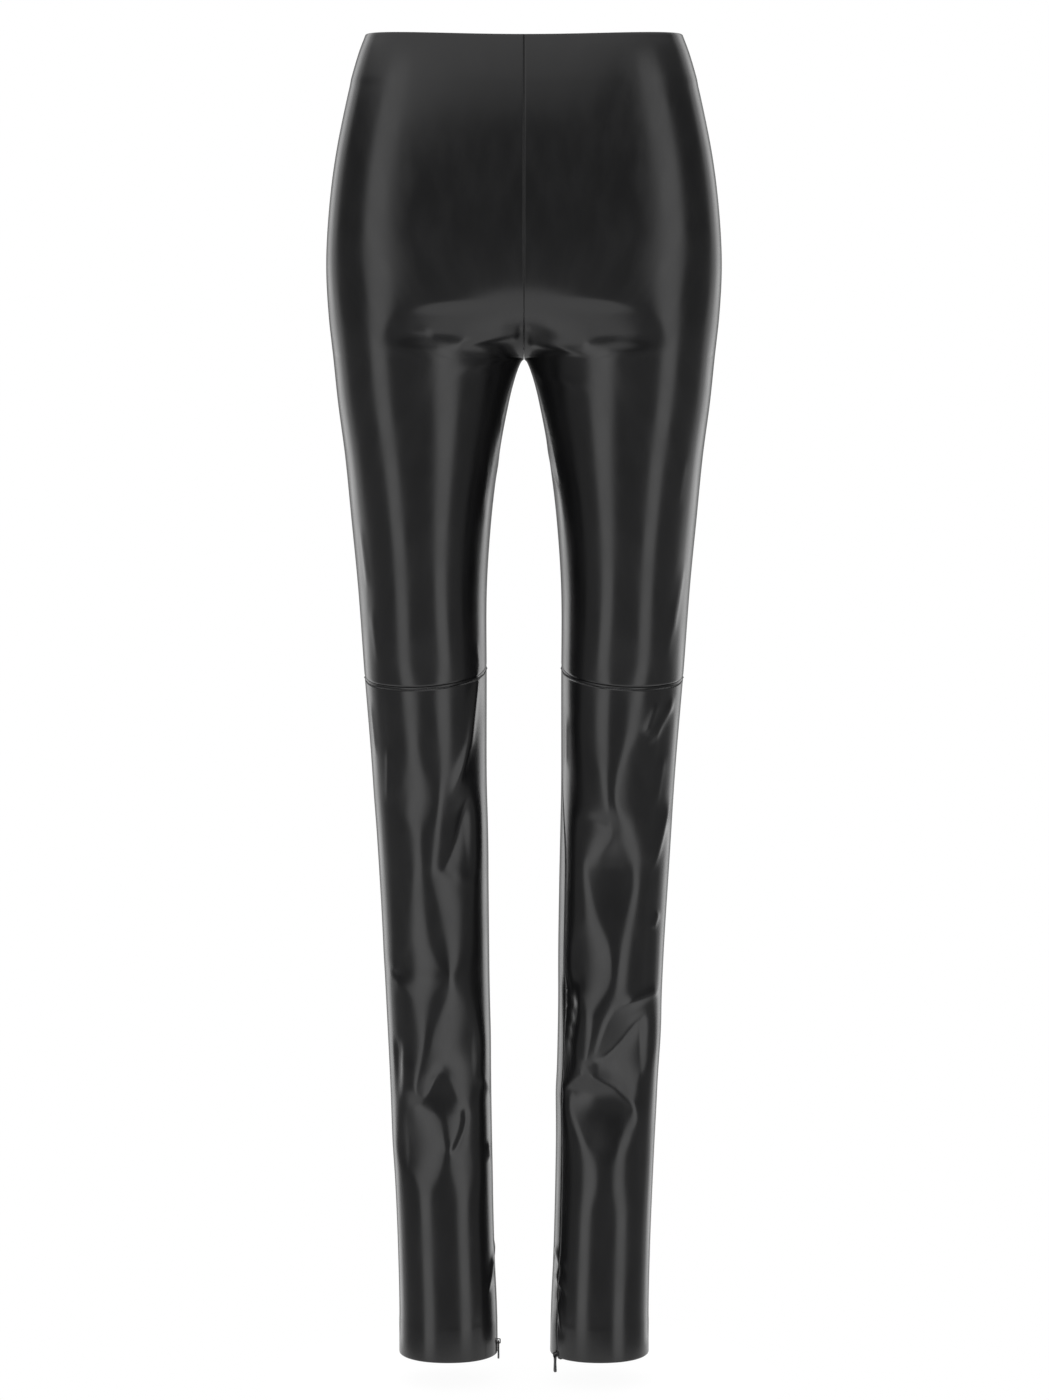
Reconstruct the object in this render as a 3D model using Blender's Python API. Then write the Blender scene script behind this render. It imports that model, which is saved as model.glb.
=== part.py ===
"""Leggings in a glossy stretch faux leather, filled out as if worn.

A high waist with no waistband, long slim legs with a curved seam at the knee, and at each
inner ankle a short hidden zip that closes downwards.

Axes: +X is the wearer's left, -Y the front and +Z up. The origin is the middle of the waist,
level with the waist edge at the sides. All sizes are in metres, and angles in degrees.

The cloth follows one smooth form, given by level sections. "Depth" is how far a section lies
below the origin. "Around" is where a point lies on one half of a section: -1 at the centre
front (on a leg, at the inseam), 0 at the side seam, and 1 at the centre back (on a leg, at the
inseam again). It grows with the length along the section.
"""

import math
from collections import namedtuple

import bmesh
import bpy
import numpy as np
from mathutils import Matrix, Vector

MM = 0.001

LEFT = 1
RIGHT = -1

# Cloth
WALL = 1.5 * MM
SEAM_GAP = 0.3 * MM

# Depths below the origin
CROTCH = 266 * MM
KNEE = 526.7 * MM
HEM = 1112 * MM

# Rise (+) or dip (-) of the waist edge at the centre front and centre back
WAIST_FRONT = -6 * MM
WAIST_BACK = 8 * MM

# The knee seam: lower at the front, and at the side than at the inseam
KNEE_FRONT_DIP = 9.8 * MM
KNEE_SIDE_DIP = 3.8 * MM

FACING_DEPTH = 40 * MM
FACING_THICKNESS = 1.0 * MM

# The form, one row for each section, in millimetres: its depth, the half width at the side, half
# the gap between the legs, and where its front, side line and back lie on Y.
Section = namedtuple("Section", "depth outer inner front side back")
SECTIONS = [
    Section(-12, 127.0, 0.0, -77, -8, 83),
    Section(0, 130.5, 0.0, -80, -9, 86),
    Section(12, 135.0, 0.0, -84, -10, 89),
    Section(30, 140.5, 0.0, -89, -12, 93),
    Section(65, 148.8, 0.0, -96, -14, 101),
    Section(105, 156.4, 0.0, -100, -15, 109),
    Section(150, 161.8, 0.0, -101, -13, 115),
    Section(190, 164.0, 0.0, -99, -10, 116),
    Section(230, 162.4, 0.0, -94, -5, 112),
    Section(266, 158.8, 0.0, -88, 0, 102),
    Section(300, 155.6, 12.2, -84, 2, 92),
    Section(345, 150.0, 20.6, -81, 2, 83),
    Section(400, 144.8, 27.4, -77, 1, 76),
    Section(452, 139.9, 31.0, -71, 0, 68),
    Section(530, 134.4, 31.5, -60, 0, 55),
    Section(620, 127.9, 31.7, -51, 6, 60),
    Section(725, 121.4, 30.2, -43, 10, 62),
    Section(830, 116.2, 28.9, -39, 10, 57),
    Section(930, 111.4, 27.3, -37, 7, 50),
    Section(1034, 107.4, 24.8, -37, 4, 45),
    Section(1070, 106.7, 23.2, -38, 4, 45),
    Section(1112, 106.8, 22.4, -39, 4, 45),
]

# How square a section of the trunk or of a leg is: 2 is an ellipse, and more is squarer
TRUNK_FRONT_POWER = 3.7
TRUNK_BACK_POWER = 2.3
LEG_POWER = 2.15

# How round the outer side of a section is at the crotch: 1 is rounder, and less is squarer
CROTCH_FRONT_POWER = 0.62
CROTCH_BACK_POWER = 0.85

# Where the form passes from the trunk to the crotch and on to the legs
TRUNK_BLEND_START = 10 * MM
TRUNK_BLEND_END = 120 * MM
LEG_BLEND_END = 200 * MM

# The height of the centre seam's curve under the body, and how close it draws the legs' inner
# sides together: less is closer
CROTCH_CURVE_HEIGHT = 100 * MM
CROTCH_SHARPNESS = 0.045

# Ankles: how far each leg's inseam turns to the front and between which depths, the radius of
# the hem's corners at the zip, and the height of the pull tab's pin above the hem
Ankle = namedtuple("Ankle", "turn turn_start turn_end corner_radius pin_height")
ANKLES = {
    LEFT: Ankle(31, 560 * MM, 700 * MM, 9 * MM, 2.5 * MM),
    RIGHT: Ankle(11, 850 * MM, 1080 * MM, 4 * MM, 10.5 * MM),
}

# The largest folds: below the knee the cloth buckles into long strips that face one way each.
# A strip lies on one leg, in front or behind, and faces turn degrees towards the outer side. Its
# rows are in millimetres: a depth, and where it starts and stops there, from the centre plane.
FRONT = -1
BACK = 1
Strip = namedtuple("Strip", "leg face turn rows")
STRIPS = [
    Strip(RIGHT, FRONT, 19, [
        (516, 88, 100), (587, 87, 94), (621, 78, 98), (636, 75, 104), (655, 83, 91),
        (666, 86, 89), (754, 80, 96), (768, 75, 101), (781, 65, 105), (800, 78, 94),
        (836, 83, 86), (887, 89, 95), (904, 70, 102), (930, 66, 107), (943, 69, 104),
        (964, 77, 87), (985, 78, 87),
    ]),
    Strip(RIGHT, FRONT, -19, [
        (516, 60, 72), (579, 61, 71), (617, 65, 69), (689, 75, 78), (697, 58, 77),
        (706, 45, 75), (735, 53, 69), (770, 56, 63), (780, 60, 62), (792, 58, 63),
        (804, 49, 65), (845, 35, 80), (858, 39, 83),
    ]),
    Strip(RIGHT, FRONT, -36, [
        (607, 48, 53), (621, 47, 54), (634, 48, 62), (663, 53, 67), (689, 67, 71),
        (694, 71, 71),
    ]),
    Strip(RIGHT, FRONT, -19, [
        (858, 39, 67), (894, 45, 51), (906, 45, 47), (938, 44, 62), (985, 43, 52),
    ]),
    Strip(RIGHT, BACK, 19, [
        (545, 86, 96), (590, 84, 92), (625, 76, 100), (655, 84, 92), (705, 87, 93),
        (745, 80, 92), (775, 70, 100), (805, 83, 93), (850, 86, 91), (890, 80, 94),
        (920, 66, 100), (945, 76, 91), (985, 79, 89),
    ]),
    Strip(RIGHT, BACK, -19, [
        (545, 60, 71), (600, 64, 70), (640, 65, 70), (682, 48, 77), (712, 60, 70),
        (760, 58, 64), (800, 60, 66), (832, 46, 76), (862, 58, 68), (905, 55, 61),
        (950, 53, 62), (985, 53, 63),
    ]),
    Strip(LEFT, FRONT, -19, [
        (516, 58, 71), (583, 59, 68), (654, 70, 73), (660, 47, 74), (667, 48, 73),
        (682, 48, 53), (705, 48, 53), (735, 51, 62), (756, 41, 70), (784, 42, 73),
        (812, 55, 59), (860, 50, 53), (875, 41, 59),
    ]),
    Strip(LEFT, FRONT, 19, [
        (516, 85, 97), (587, 80, 87), (624, 74, 77), (635, 75, 78), (671, 79, 95),
        (691, 93, 99), (722, 90, 95), (753, 80, 85), (794, 75, 80), (804, 71, 79),
        (836, 60, 64), (855, 55, 58),
    ]),
    Strip(LEFT, FRONT, 0, [
        (687, 53, 90), (726, 61, 85), (752, 73, 77),
    ]),
    Strip(LEFT, FRONT, 19, [
        (813, 107, 111), (828, 98, 111), (848, 74, 110), (858, 63, 106), (867, 60, 100),
        (877, 76, 95), (885, 91, 95), (906, 95, 98), (913, 92, 96),
    ]),
    Strip(LEFT, FRONT, -19, [
        (875, 32, 34), (887, 31, 34), (928, 48, 53), (937, 50, 60), (985, 51, 61),
    ]),
    Strip(LEFT, FRONT, 19, [
        (918, 82, 98), (926, 79, 86), (932, 77, 81), (943, 74, 82), (985, 75, 84),
    ]),
    Strip(LEFT, BACK, 19, [
        (545, 88, 98), (580, 82, 90), (615, 77, 81), (652, 72, 100), (678, 87, 95),
        (720, 83, 89), (762, 75, 82), (800, 82, 90), (836, 70, 99), (864, 80, 88),
        (905, 82, 88), (942, 74, 93), (985, 77, 87),
    ]),
    Strip(LEFT, BACK, -19, [
        (545, 60, 70), (590, 62, 70), (628, 66, 71), (690, 56, 64), (736, 45, 75),
        (766, 57, 66), (802, 60, 68), (850, 56, 63), (886, 44, 72), (914, 56, 65),
        (950, 54, 62), (985, 54, 63),
    ]),
]

# How much more a strip turns at its outer edge than in its middle, and the most that the folds
# turn the cloth, in degrees
STRIP_SPREAD = 6
STEEPEST = 50

# How far the folds fade in above and below, how little they wander down the leg, the widest and
# the narrowest that they may be, and how much of them is left where the form turns to the side
FOLD_FADE = 25 * MM
LEVEL_WEIGHT = 0.3
WIDEST_FOLD = 30 * MM
FOLD_SOFTNESS = 3.5 * MM
RIM_SHARE = 0.15
RIM_START = 0.7
FOLD_TOP = 400 * MM
FOLD_STEP = 4 * MM

# Mesh
SECTION_SAMPLES = 161
SLOPE_STEP = 1 * MM
THIGH_COLUMNS = 12
SHIN_COLUMNS = 13
FACING_ROWS = 2
RISE_ROWS = 10
THIGH_ROWS = 11
SHIN_ROWS = 33
SEAM_COLUMNS = [2 * MM, 6 * MM]
HEM_ROWS = [25 * MM, 18 * MM, 12.5 * MM, 8 * MM, 4 * MM, 0.0]

# Zips, in the slider's own axes: X along the hem, Y out of the cloth, Z up, from the cloth's
# outer face at the seam, level with the pin
TAPE_TOP = 103 * MM
TAPE_THICKNESS = 1.0 * MM
SLIDER_WIDTH = 5.2 * MM
SLIDER_HEIGHT = 9 * MM
SLIDER_FRONT = -2.0 * MM
SLIDER_BACK = -5.2 * MM
SLIDER_BEVEL = 0.8 * MM
BRIDGE_THICKNESS = 1.0 * MM
BRIDGE_HEIGHT = 4.4 * MM
BRIDGE_BAR = 0.8 * MM
PIN_STANDOFF = 1.4 * MM
PIN_ROOM = 1.1 * MM
PARTING = 1.0 * MM
PARTING_REACH = 5 * MM
TAB_THICKNESS = 1.2 * MM
TAB_LENGTH = 16 * MM
TAB_WAIST = 1.2 * MM
TAB_FLARE = 1.5 * MM
EYE_HALF_WIDTH = 1.0 * MM
EYE_HEIGHT = 2.6 * MM
LOOP_POINTS = 24

# Finishes: colour, roughness, metallic
FAUX_LEATHER = ("black_faux_leather", (0.006, 0.006, 0.007), 0.3, 0.0)
FACING_CLOTH = ("black_facing", (0.010, 0.010, 0.011), 0.6, 0.0)
TAPE_CLOTH = ("black_zip_tape", (0.008, 0.008, 0.008), 0.8, 0.0)
ZIP_METAL = ("black_zip_metal", (0.02, 0.02, 0.02), 0.35, 0.8)


# ---------------------------------------------------------------- the form

def section_table():
    """The rows of SECTIONS in metres, with the gap squared, and their slopes along the depth."""
    rows = np.array(SECTIONS, dtype=float) * MM
    rows[:, 2] **= 2
    return rows, np.gradient(rows, rows[:, 0], axis=0)


ROWS, ROW_SLOPES = section_table()
CROTCH_ARCH = ROW_SLOPES[list(ROWS[:, 0]).index(CROTCH), 2]


def section_at(depth):
    """The section's sizes at one depth, on a smooth curve through the rows."""
    depths = ROWS[:, 0]
    depth = min(max(depth, depths[0]), depths[-1])
    i = min(max(int(np.searchsorted(depths, depth)) - 1, 0), len(depths) - 2)
    span = depths[i + 1] - depths[i]
    u = (depth - depths[i]) / span
    value = (
        (2 * u**3 - 3 * u**2 + 1) * ROWS[i]
        + (u**3 - 2 * u**2 + u) * span * ROW_SLOPES[i]
        + (3 * u**2 - 2 * u**3) * ROWS[i + 1]
        + (u**3 - u**2) * span * ROW_SLOPES[i + 1]
    )
    value[2] = math.sqrt(value[2]) if depth > CROTCH else 0.0
    return Section(*value)


def smoothstep(share):
    """A smooth passage from 0 to 1."""
    share = min(max(share, 0.0), 1.0)
    return share * share * (3 - 2 * share)


def evenly(x, y, slack=0.0):
    """The same outline with its points at even lengths along it.

    With slack, a length, the points stay where they would be on an outline that is longer by
    the slack at its inner end, and draw together there.
    """
    length = np.concatenate([[0.0], np.cumsum(np.hypot(np.diff(x), np.diff(y)))])
    from_side = np.linspace(1.0, 0.0, SECTION_SAMPLES)
    steps = length[-1] - (length[-1] + slack) * from_side + slack * from_side**3
    return np.stack([np.interp(steps, length, x), np.interp(steps, length, y)], axis=1)


def sharpen(share):
    """Steepens a share near 0, which draws the legs' inner sides close together."""
    sharp = CROTCH_SHARPNESS**2
    return share * ((1 + sharp) / (share * share + sharp)) ** 0.25


def middle_square(section, depth):
    """The inner end of a section near the crotch, squared.

    It is above 0 below the crotch, where it is half the gap between the legs, and below 0 above
    it, where it is the centre seam's distance from the side line.
    """
    rise = CROTCH - depth
    if rise < 0:
        return section.inner**2
    share = min(rise / CROTCH_CURVE_HEIGHT, 1.0)
    return -CROTCH_ARCH * rise * (1 - share) - section.outer**2 / 3 * smoothstep(share)


def crotch_outline(section, depth, reach, power):
    """Half a section near the crotch, where one outline parts into two: a Cassini oval.

    The oval is the square root of a circle.
    """
    far = section.outer**2
    near = middle_square(section, depth)
    centre, radius = (far + near) / 2, (far - near) / 2
    turn = np.pi * np.linspace(0.0, 1.0, SECTION_SAMPLES) ** 2
    root = np.sqrt(centre - radius * np.exp(1j * turn))
    share = np.clip(np.abs(root.imag) * 2 * math.sqrt(centre) / radius, 0.0, 1.0)
    inside = np.arange(SECTION_SAMPLES) < np.argmax(share)
    share = np.where(inside, sharpen(share), share**power)
    return evenly(root.real, section.side + reach * share)


def trunk_outline(section, reach, power):
    """Half a section of the trunk, from the centre seam to the side: a rounded box."""
    angle = np.linspace(math.pi / 2, 0.0, SECTION_SAMPLES)
    x = section.outer * np.abs(np.cos(angle)) ** (2 / power)
    x[0] = 0.0
    return evenly(x, section.side + reach * np.sin(angle) ** (2 / power))


def leg_outline(section, reach):
    """Half a section of a leg, from the inseam to the side: a rounded oval."""
    angle = np.linspace(math.pi, 0.0, SECTION_SAMPLES)
    middle = (section.outer + section.inner) / 2
    half = (section.outer - section.inner) / 2
    x = middle + half * np.sign(np.cos(angle)) * np.abs(np.cos(angle)) ** (2 / LEG_POWER)
    return evenly(x, section.side + reach * np.abs(np.sin(angle)) ** (2 / LEG_POWER))


def half_outline(section, depth, reach, crotch_power, trunk_power):
    """Front or back half of one side's section, blended from the three kinds of outline."""
    outline = crotch_outline(section, depth, reach, crotch_power)
    trunk = smoothstep(
        (CROTCH - depth - TRUNK_BLEND_START) / (TRUNK_BLEND_END - TRUNK_BLEND_START)
    )
    leg = smoothstep((depth - CROTCH) / LEG_BLEND_END)
    outline += trunk * (trunk_outline(section, reach, trunk_power) - outline)
    outline += leg * (leg_outline(section, reach) - outline)
    under = 1 - smoothstep((CROTCH - depth) / CROTCH_CURVE_HEIGHT)
    slack = under * abs(outline[0, 1] - section.side) if depth < CROTCH else 0.0
    return evenly(*outline.T, slack)


OUTLINES = {}


def outline_at(depth):
    """The wearer's left section at one depth and its length, worked out once."""
    key = round(depth, 7)
    if key not in OUTLINES:
        section = section_at(depth)
        front, back = (
            half_outline(section, depth, reach, *powers)
            for reach, *powers in (
                (section.front - section.side, CROTCH_FRONT_POWER, TRUNK_FRONT_POWER),
                (section.back - section.side, CROTCH_BACK_POWER, TRUNK_BACK_POWER),
            )
        )
        points = np.concatenate([front, back[-2::-1]])
        length = np.hypot(*np.diff(points, axis=0).T).sum()
        OUTLINES[key] = points, length
    return OUTLINES[key]


def around_per_metre(depth):
    """How much "around" one metre along the section is."""
    return 2 / outline_at(depth)[1]


def form_point(around, depth):
    """A point of the smooth form on the wearer's left."""
    points, _ = outline_at(depth)
    if depth > CROTCH:
        around = (around + 1) % 2 - 1
    around = min(max(around, -1.0), 1.0)
    places = np.linspace(-1.0, 1.0, len(points))
    return Vector((
        np.interp(around, places, points[:, 0]),
        np.interp(around, places, points[:, 1]),
        -depth,
    ))


def form_normal(around, depth):
    """The direction out of the form."""
    step = SLOPE_STEP * around_per_metre(depth)
    along = form_point(around + step, depth) - form_point(around - step, depth)
    down = form_point(around, depth + SLOPE_STEP) - form_point(around, depth - SLOPE_STEP)
    return down.cross(along).normalized()


# ---------------------------------------------------------------- the folds

def strip_edges(leg, face, depth):
    """Where a leg's strips start and stop at one depth, and the sine of their turn there."""
    edges = []
    for strip in STRIPS:
        rows = np.array(strip.rows) * MM
        if (strip.leg, strip.face) == (leg, face) and rows[0, 0] < depth < rows[-1, 0]:
            for column, turn in ((1, strip.turn - STRIP_SPREAD), (2, strip.turn + STRIP_SPREAD)):
                place = np.interp(depth, rows[:, 0], rows[:, column])
                edges.append((place, math.sin(math.radians(turn))))
    return sorted(edges)


def steepness(leg, face, depth):
    """How steeply the folds rise along one face of a section, from the inseam to the side.

    The cloth turns evenly from one strip to the next, and from the last ones to the sides.
    """
    points, _ = outline_at(depth)
    x, y = (points[:SECTION_SAMPLES] if face == FRONT else points[:SECTION_SAMPLES - 2:-1]).T
    edges = strip_edges(leg, face, depth)
    if not edges:
        return np.zeros(SECTION_SAMPLES)
    knots = np.array([(x[0], -1.0), *edges, (x[-1], 1.0)])
    wanted = np.arcsin(np.interp(x, *knots.T))
    smooth = np.arctan2(np.gradient(y) * -face, np.gradient(x))
    limit = math.radians(STEEPEST)
    return np.tan(np.clip(smooth - wanted, -limit, limit))


def rim_window(depth):
    """How much of the folds is left round one section: little where it turns to the side."""
    points, length = outline_at(depth)
    run = np.diff(points[:, 0]) * (len(points) - 1) / length
    aside = np.sqrt(np.maximum(1 - run * run, 0.0))
    share = np.clip((aside - RIM_START) / (1 - RIM_START), 0.0, 1.0)
    return 1 - (1 - RIM_SHARE) * share * share * (3 - 2 * share)


def fold_table(leg):
    """How far the folds move one leg's cloth out, a row for each depth and a place for each
    outline point.

    It is the sheet that comes closest to the strips' steepness all over while it stays as level
    as it can down the leg, found from its waves.
    """
    count = 2 * (SECTION_SAMPLES - 1)
    depths = np.arange(FOLD_TOP, HEM, FOLD_STEP)
    steep = np.zeros((len(depths), count))
    length = outline_at(HEM)[1]
    for face in (FRONT, BACK):
        used = [row[0] * MM for strip in STRIPS if (strip.leg, strip.face) == (leg, face)
                for row in strip.rows]
        for i, depth in enumerate(depths):
            near = min(depth - min(used), max(used) - depth) / FOLD_FADE
            wider = outline_at(depth)[1] / length
            values = smoothstep(near) * wider * steepness(leg, face, depth)
            if face == FRONT:
                steep[i, :SECTION_SAMPLES] = values
            else:
                steep[i, SECTION_SAMPLES - 1:] = -values[:0:-1]
    across = 2 * math.pi * np.fft.fftfreq(count, length / count)[None, :]
    down = 2 * math.pi * np.fft.fftfreq(len(depths), FOLD_STEP)[:, None]
    whole = across**2 + LEVEL_WEIGHT * down**2 + WIDEST_FOLD**-2
    softened = np.exp(-(across**2 + down**2) * FOLD_SOFTNESS**2 / 2)
    rise = np.fft.ifft2(np.fft.fft2(steep) * -1j * across / whole * softened).real
    return rise * np.array([rim_window(depth) for depth in depths])


FOLDS = {leg: fold_table(leg) for leg in (LEFT, RIGHT)}


# ---------------------------------------------------------------- the cloth

def waist_depth(around):
    """Depth of the waist edge, which dips at the front and rises behind."""
    rise = WAIST_FRONT if around < 0 else WAIST_BACK
    return -rise * math.sin(math.pi * around / 2) ** 2


def knee_depth(around):
    """Depth of the knee seam."""
    front = -math.sin(math.pi * around)
    return KNEE + KNEE_SIDE_DIP * math.cos(math.pi * around) + KNEE_FRONT_DIP * front


def hem_depth(leg, around):
    """Depth of the hem, whose corners at the zip are rounded."""
    radius = ANKLES[leg].corner_radius
    from_seam = (1 - abs(around)) / around_per_metre(HEM)
    if from_seam >= radius:
        return HEM
    return HEM - radius + math.sqrt(radius**2 - (radius - from_seam) ** 2)


def seam_turn(leg, depth):
    """How far a leg's seams have turned towards the front, in "around"."""
    ankle = ANKLES[leg]
    share = (depth - ankle.turn_start) / (ankle.turn_end - ankle.turn_start)
    return smoothstep(share) * ankle.turn / 180


def pin_depth(leg):
    """Depth of the pull tab's pin."""
    return HEM - ANKLES[leg].pin_height


def half_gap(leg, around, depth):
    """Half the gap at a seam, which parts round the zip slider."""
    if abs(around) < 1:
        return SEAM_GAP / 2
    away = (depth - pin_depth(leg)) / PARTING_REACH
    return SEAM_GAP / 2 + PARTING * math.exp(-away * away)


def fold_rise(leg, around, depth):
    """How far the folds move the cloth out of the smooth form."""
    table = FOLDS[leg]
    row = (depth - FOLD_TOP) / FOLD_STEP
    if not 0 <= row < len(table) - 1:
        return 0.0
    column = (around + 1) % 2 / 2 * table.shape[1]
    i, j = int(row), int(column)
    u, v = row - i, column - j
    after = (j + 1) % table.shape[1]
    upper = table[i, j] * (1 - v) + table[i, after] * v
    lower = table[i + 1, j] * (1 - v) + table[i + 1, after] * v
    return upper * (1 - u) + lower * u


def cloth_point(leg, around, depth, inset):
    """A point of the cloth on one leg, a given distance inside its outer face."""
    place = around + seam_turn(leg, depth)
    out = form_normal(place, depth) * (fold_rise(leg, place, depth) - inset)
    point = form_point(place, depth) + out
    point.x = leg * max(point.x, SEAM_GAP / 2)
    return point


def thigh_depth(around, row):
    """Depth on a thigh panel: row 0 is the waist, 1 the facing's edge, 2 the crotch, 3 the knee.

    Rows crowd towards the crotch along the centre seams and the inseam.
    """
    crowding = abs(around) ** 3
    waist = waist_depth(around)
    if row <= 1:
        return waist + FACING_DEPTH * row
    if row <= 2:
        top = waist + FACING_DEPTH
        return top + (CROTCH - top) * (1 - (2 - row) ** (1 + crowding))
    bottom = knee_depth(around) - SEAM_GAP / 2
    return CROTCH + (bottom - CROTCH) * (row - 2) ** (1 + crowding / 2)


def shin_depth(leg, around, share):
    """Depth between the knee and the hem, evenly spaced."""
    top = knee_depth(around) + SEAM_GAP / 2
    return top + (hem_depth(leg, around) - top) * share


# ---------------------------------------------------------------- walls

def new_object(name, bm, finish):
    """Makes a named, smooth-shaded object of a bmesh, with its material."""
    mesh = bpy.data.meshes.new(name)
    bm.to_mesh(mesh)
    bm.free()
    mesh.shade_smooth()
    mesh.set_sharp_from_angle(angle=math.radians(40))
    mesh.materials.append(material(*finish))
    obj = bpy.data.objects.new(name, mesh)
    bpy.context.collection.objects.link(obj)
    return obj


def material(name, colour, roughness, metallic):
    """A material, made once."""
    found = bpy.data.materials.get(name)
    if found:
        return found
    made = bpy.data.materials.new(name)
    made.use_nodes = True
    shader = made.node_tree.nodes["Principled BSDF"]
    shader.inputs["Base Color"].default_value = (*colour, 1.0)
    shader.inputs["Roughness"].default_value = roughness
    shader.inputs["Metallic"].default_value = metallic
    return made


def cloth_wall(name, columns, rows, place, inset, thickness, finish, ring=False):
    """A closed wall of cloth.

    columns and rows are the shares, from 0 to 1, of a grid across and down the piece. place
    takes a column, a row and an inset, and gives the point that far inside the cloth. A ring's
    last column meets its first.
    """
    bm = bmesh.new()
    across = bm.verts.layers.float.new("across")
    down = bm.verts.layers.float.new("down")
    bmesh.ops.create_grid(bm, x_segments=len(columns) - 1, y_segments=len(rows) - 1, size=1.0)
    bm.verts.ensure_lookup_table()
    for index, vert in enumerate(bm.verts):
        vert[across] = columns[index % len(columns)]
        vert[down] = rows[index // len(columns)]
        vert.co = place(vert[across], vert[down], inset)
    if ring:
        bmesh.ops.remove_doubles(bm, verts=bm.verts[:], dist=SEAM_GAP / 10)
    outside = bm.faces[:]
    grown = bmesh.ops.extrude_face_region(bm, geom=outside, use_keep_orig=True)
    for item in grown["geom"]:
        if isinstance(item, bmesh.types.BMVert):
            item.co = place(item[across], item[down], inset + thickness)
    bmesh.ops.recalc_face_normals(bm, faces=bm.faces[:])
    return new_object(name, bm, finish)


def panel_place(leg, start, stop, depth_at):
    """The place function of a panel between two seams of one leg."""

    def place(column, row, inset):
        around = start + (stop - start) * column
        depth = depth_at(around, row)
        metre = around_per_metre(depth)
        first = start + half_gap(leg, start, depth) * metre
        last = stop - half_gap(leg, stop, depth) * metre
        return cloth_point(leg, first + (last - first) * column, depth, inset)

    return place


def thigh_rows():
    """The rows of a thigh panel."""
    return np.concatenate([
        np.linspace(0.0, 1.0, FACING_ROWS + 1),
        np.linspace(1.0, 2.0, RISE_ROWS + 1)[1:],
        np.linspace(2.0, 3.0, THIGH_ROWS + 1)[1:],
    ])


def make_thigh_panel(name, leg, start, stop):
    """A front or back panel from the waist to the knee."""
    columns = np.linspace(0.0, 1.0, THIGH_COLUMNS + 1)
    place = panel_place(leg, start, stop, thigh_depth)
    return cloth_wall(name, columns, thigh_rows(), place, 0.0, WALL, FAUX_LEATHER)


def shin_columns():
    """The columns of a front shin panel, closer together at the inseam."""
    near_seam = np.array(SEAM_COLUMNS) * around_per_metre(HEM)
    return np.sort(np.concatenate([np.linspace(0.0, 1.0, SHIN_COLUMNS + 1), near_seam]))


def shin_rows():
    """The rows of a shin panel, closer together at the hem."""
    near_hem = 1 - np.array(HEM_ROWS) / (HEM - KNEE)
    return np.concatenate([np.linspace(0.0, near_hem[0], SHIN_ROWS + 1), near_hem[1:]])


def make_shin_panel(name, leg, start, stop):
    """A front or back panel from the knee to the hem."""
    columns = shin_columns()
    if stop == 1:
        columns = 1 - columns[::-1]

    def depth_at(around, row):
        return shin_depth(leg, around, row)

    place = panel_place(leg, start, stop, depth_at)
    return cloth_wall(name, columns, shin_rows(), place, 0.0, WALL, FAUX_LEATHER)


def make_facing():
    """The ring of facing inside the waist, from the centre front round the wearer's left."""

    def place(column, row, inset):
        leg = LEFT if column <= 2 else RIGHT
        around = column - 1 if column <= 2 else 3 - column
        point = cloth_point(leg, around, thigh_depth(around, row), inset)
        if abs(around) == 1:
            point.x = 0.0
        return point

    columns = np.linspace(0.0, 4.0, 4 * THIGH_COLUMNS + 1)
    rows = thigh_rows()[:FACING_ROWS + 1]
    inset = WALL + SEAM_GAP
    return cloth_wall(
        "waist_facing", columns, rows, place, inset, FACING_THICKNESS, FACING_CLOTH, ring=True
    )


# ---------------------------------------------------------------- zips

def make_tape(name, leg):
    """The closed zip's tape, behind the inseam and above the slider."""

    def place(column, row, inset):
        depth = shin_depth(leg, column % 2 - 1, row)
        return cloth_point(leg, column - 1, depth, inset)

    aside = shin_columns()[:len(SEAM_COLUMNS) + 2]
    columns = np.concatenate([-aside[:0:-1], aside])
    above_hem = (1 - shin_rows()) * (HEM - KNEE)
    bottom = ANKLES[leg].pin_height + SLIDER_HEIGHT / 2
    rows = shin_rows()[(above_hem > bottom) & (above_hem < TAPE_TOP)]
    return cloth_wall(name, columns, rows, place, WALL + SEAM_GAP, TAPE_THICKNESS, TAPE_CLOTH)


def slider_frame(leg):
    """The slider's axes as a matrix, at the cloth's outer face on the inseam."""
    depth = pin_depth(leg)
    place = -1 + seam_turn(leg, depth)
    origin = form_point(place, depth)
    out = form_normal(place, depth)
    out = Vector((out.x * leg, out.y, 0.0)).normalized()
    origin.x *= leg
    along = out.cross(Vector((0, 0, 1)))
    frame = Matrix((along, out, Vector((0, 0, 1)))).transposed().to_4x4()
    return Matrix.Translation(origin) @ frame


def ring_plate(outer, inner, thickness, normal):
    """A flat plate with a hole, from two loops given as functions of an angle."""
    bm = bmesh.new()
    for outline in (outer, inner):
        loop = bmesh.ops.create_circle(bm, segments=LOOP_POINTS, radius=1.0)["verts"]
        for index, vert in enumerate(loop):
            vert.co = outline(2 * math.pi * index / LOOP_POINTS) - normal * thickness / 2
    bmesh.ops.bridge_loops(bm, edges=bm.edges[:])
    grown = bmesh.ops.extrude_face_region(bm, geom=bm.faces[:], use_keep_orig=True)
    moved = [item for item in grown["geom"] if isinstance(item, bmesh.types.BMVert)]
    bmesh.ops.translate(bm, verts=moved, vec=normal * thickness)
    bmesh.ops.recalc_face_normals(bm, faces=bm.faces[:])
    return bm


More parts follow.
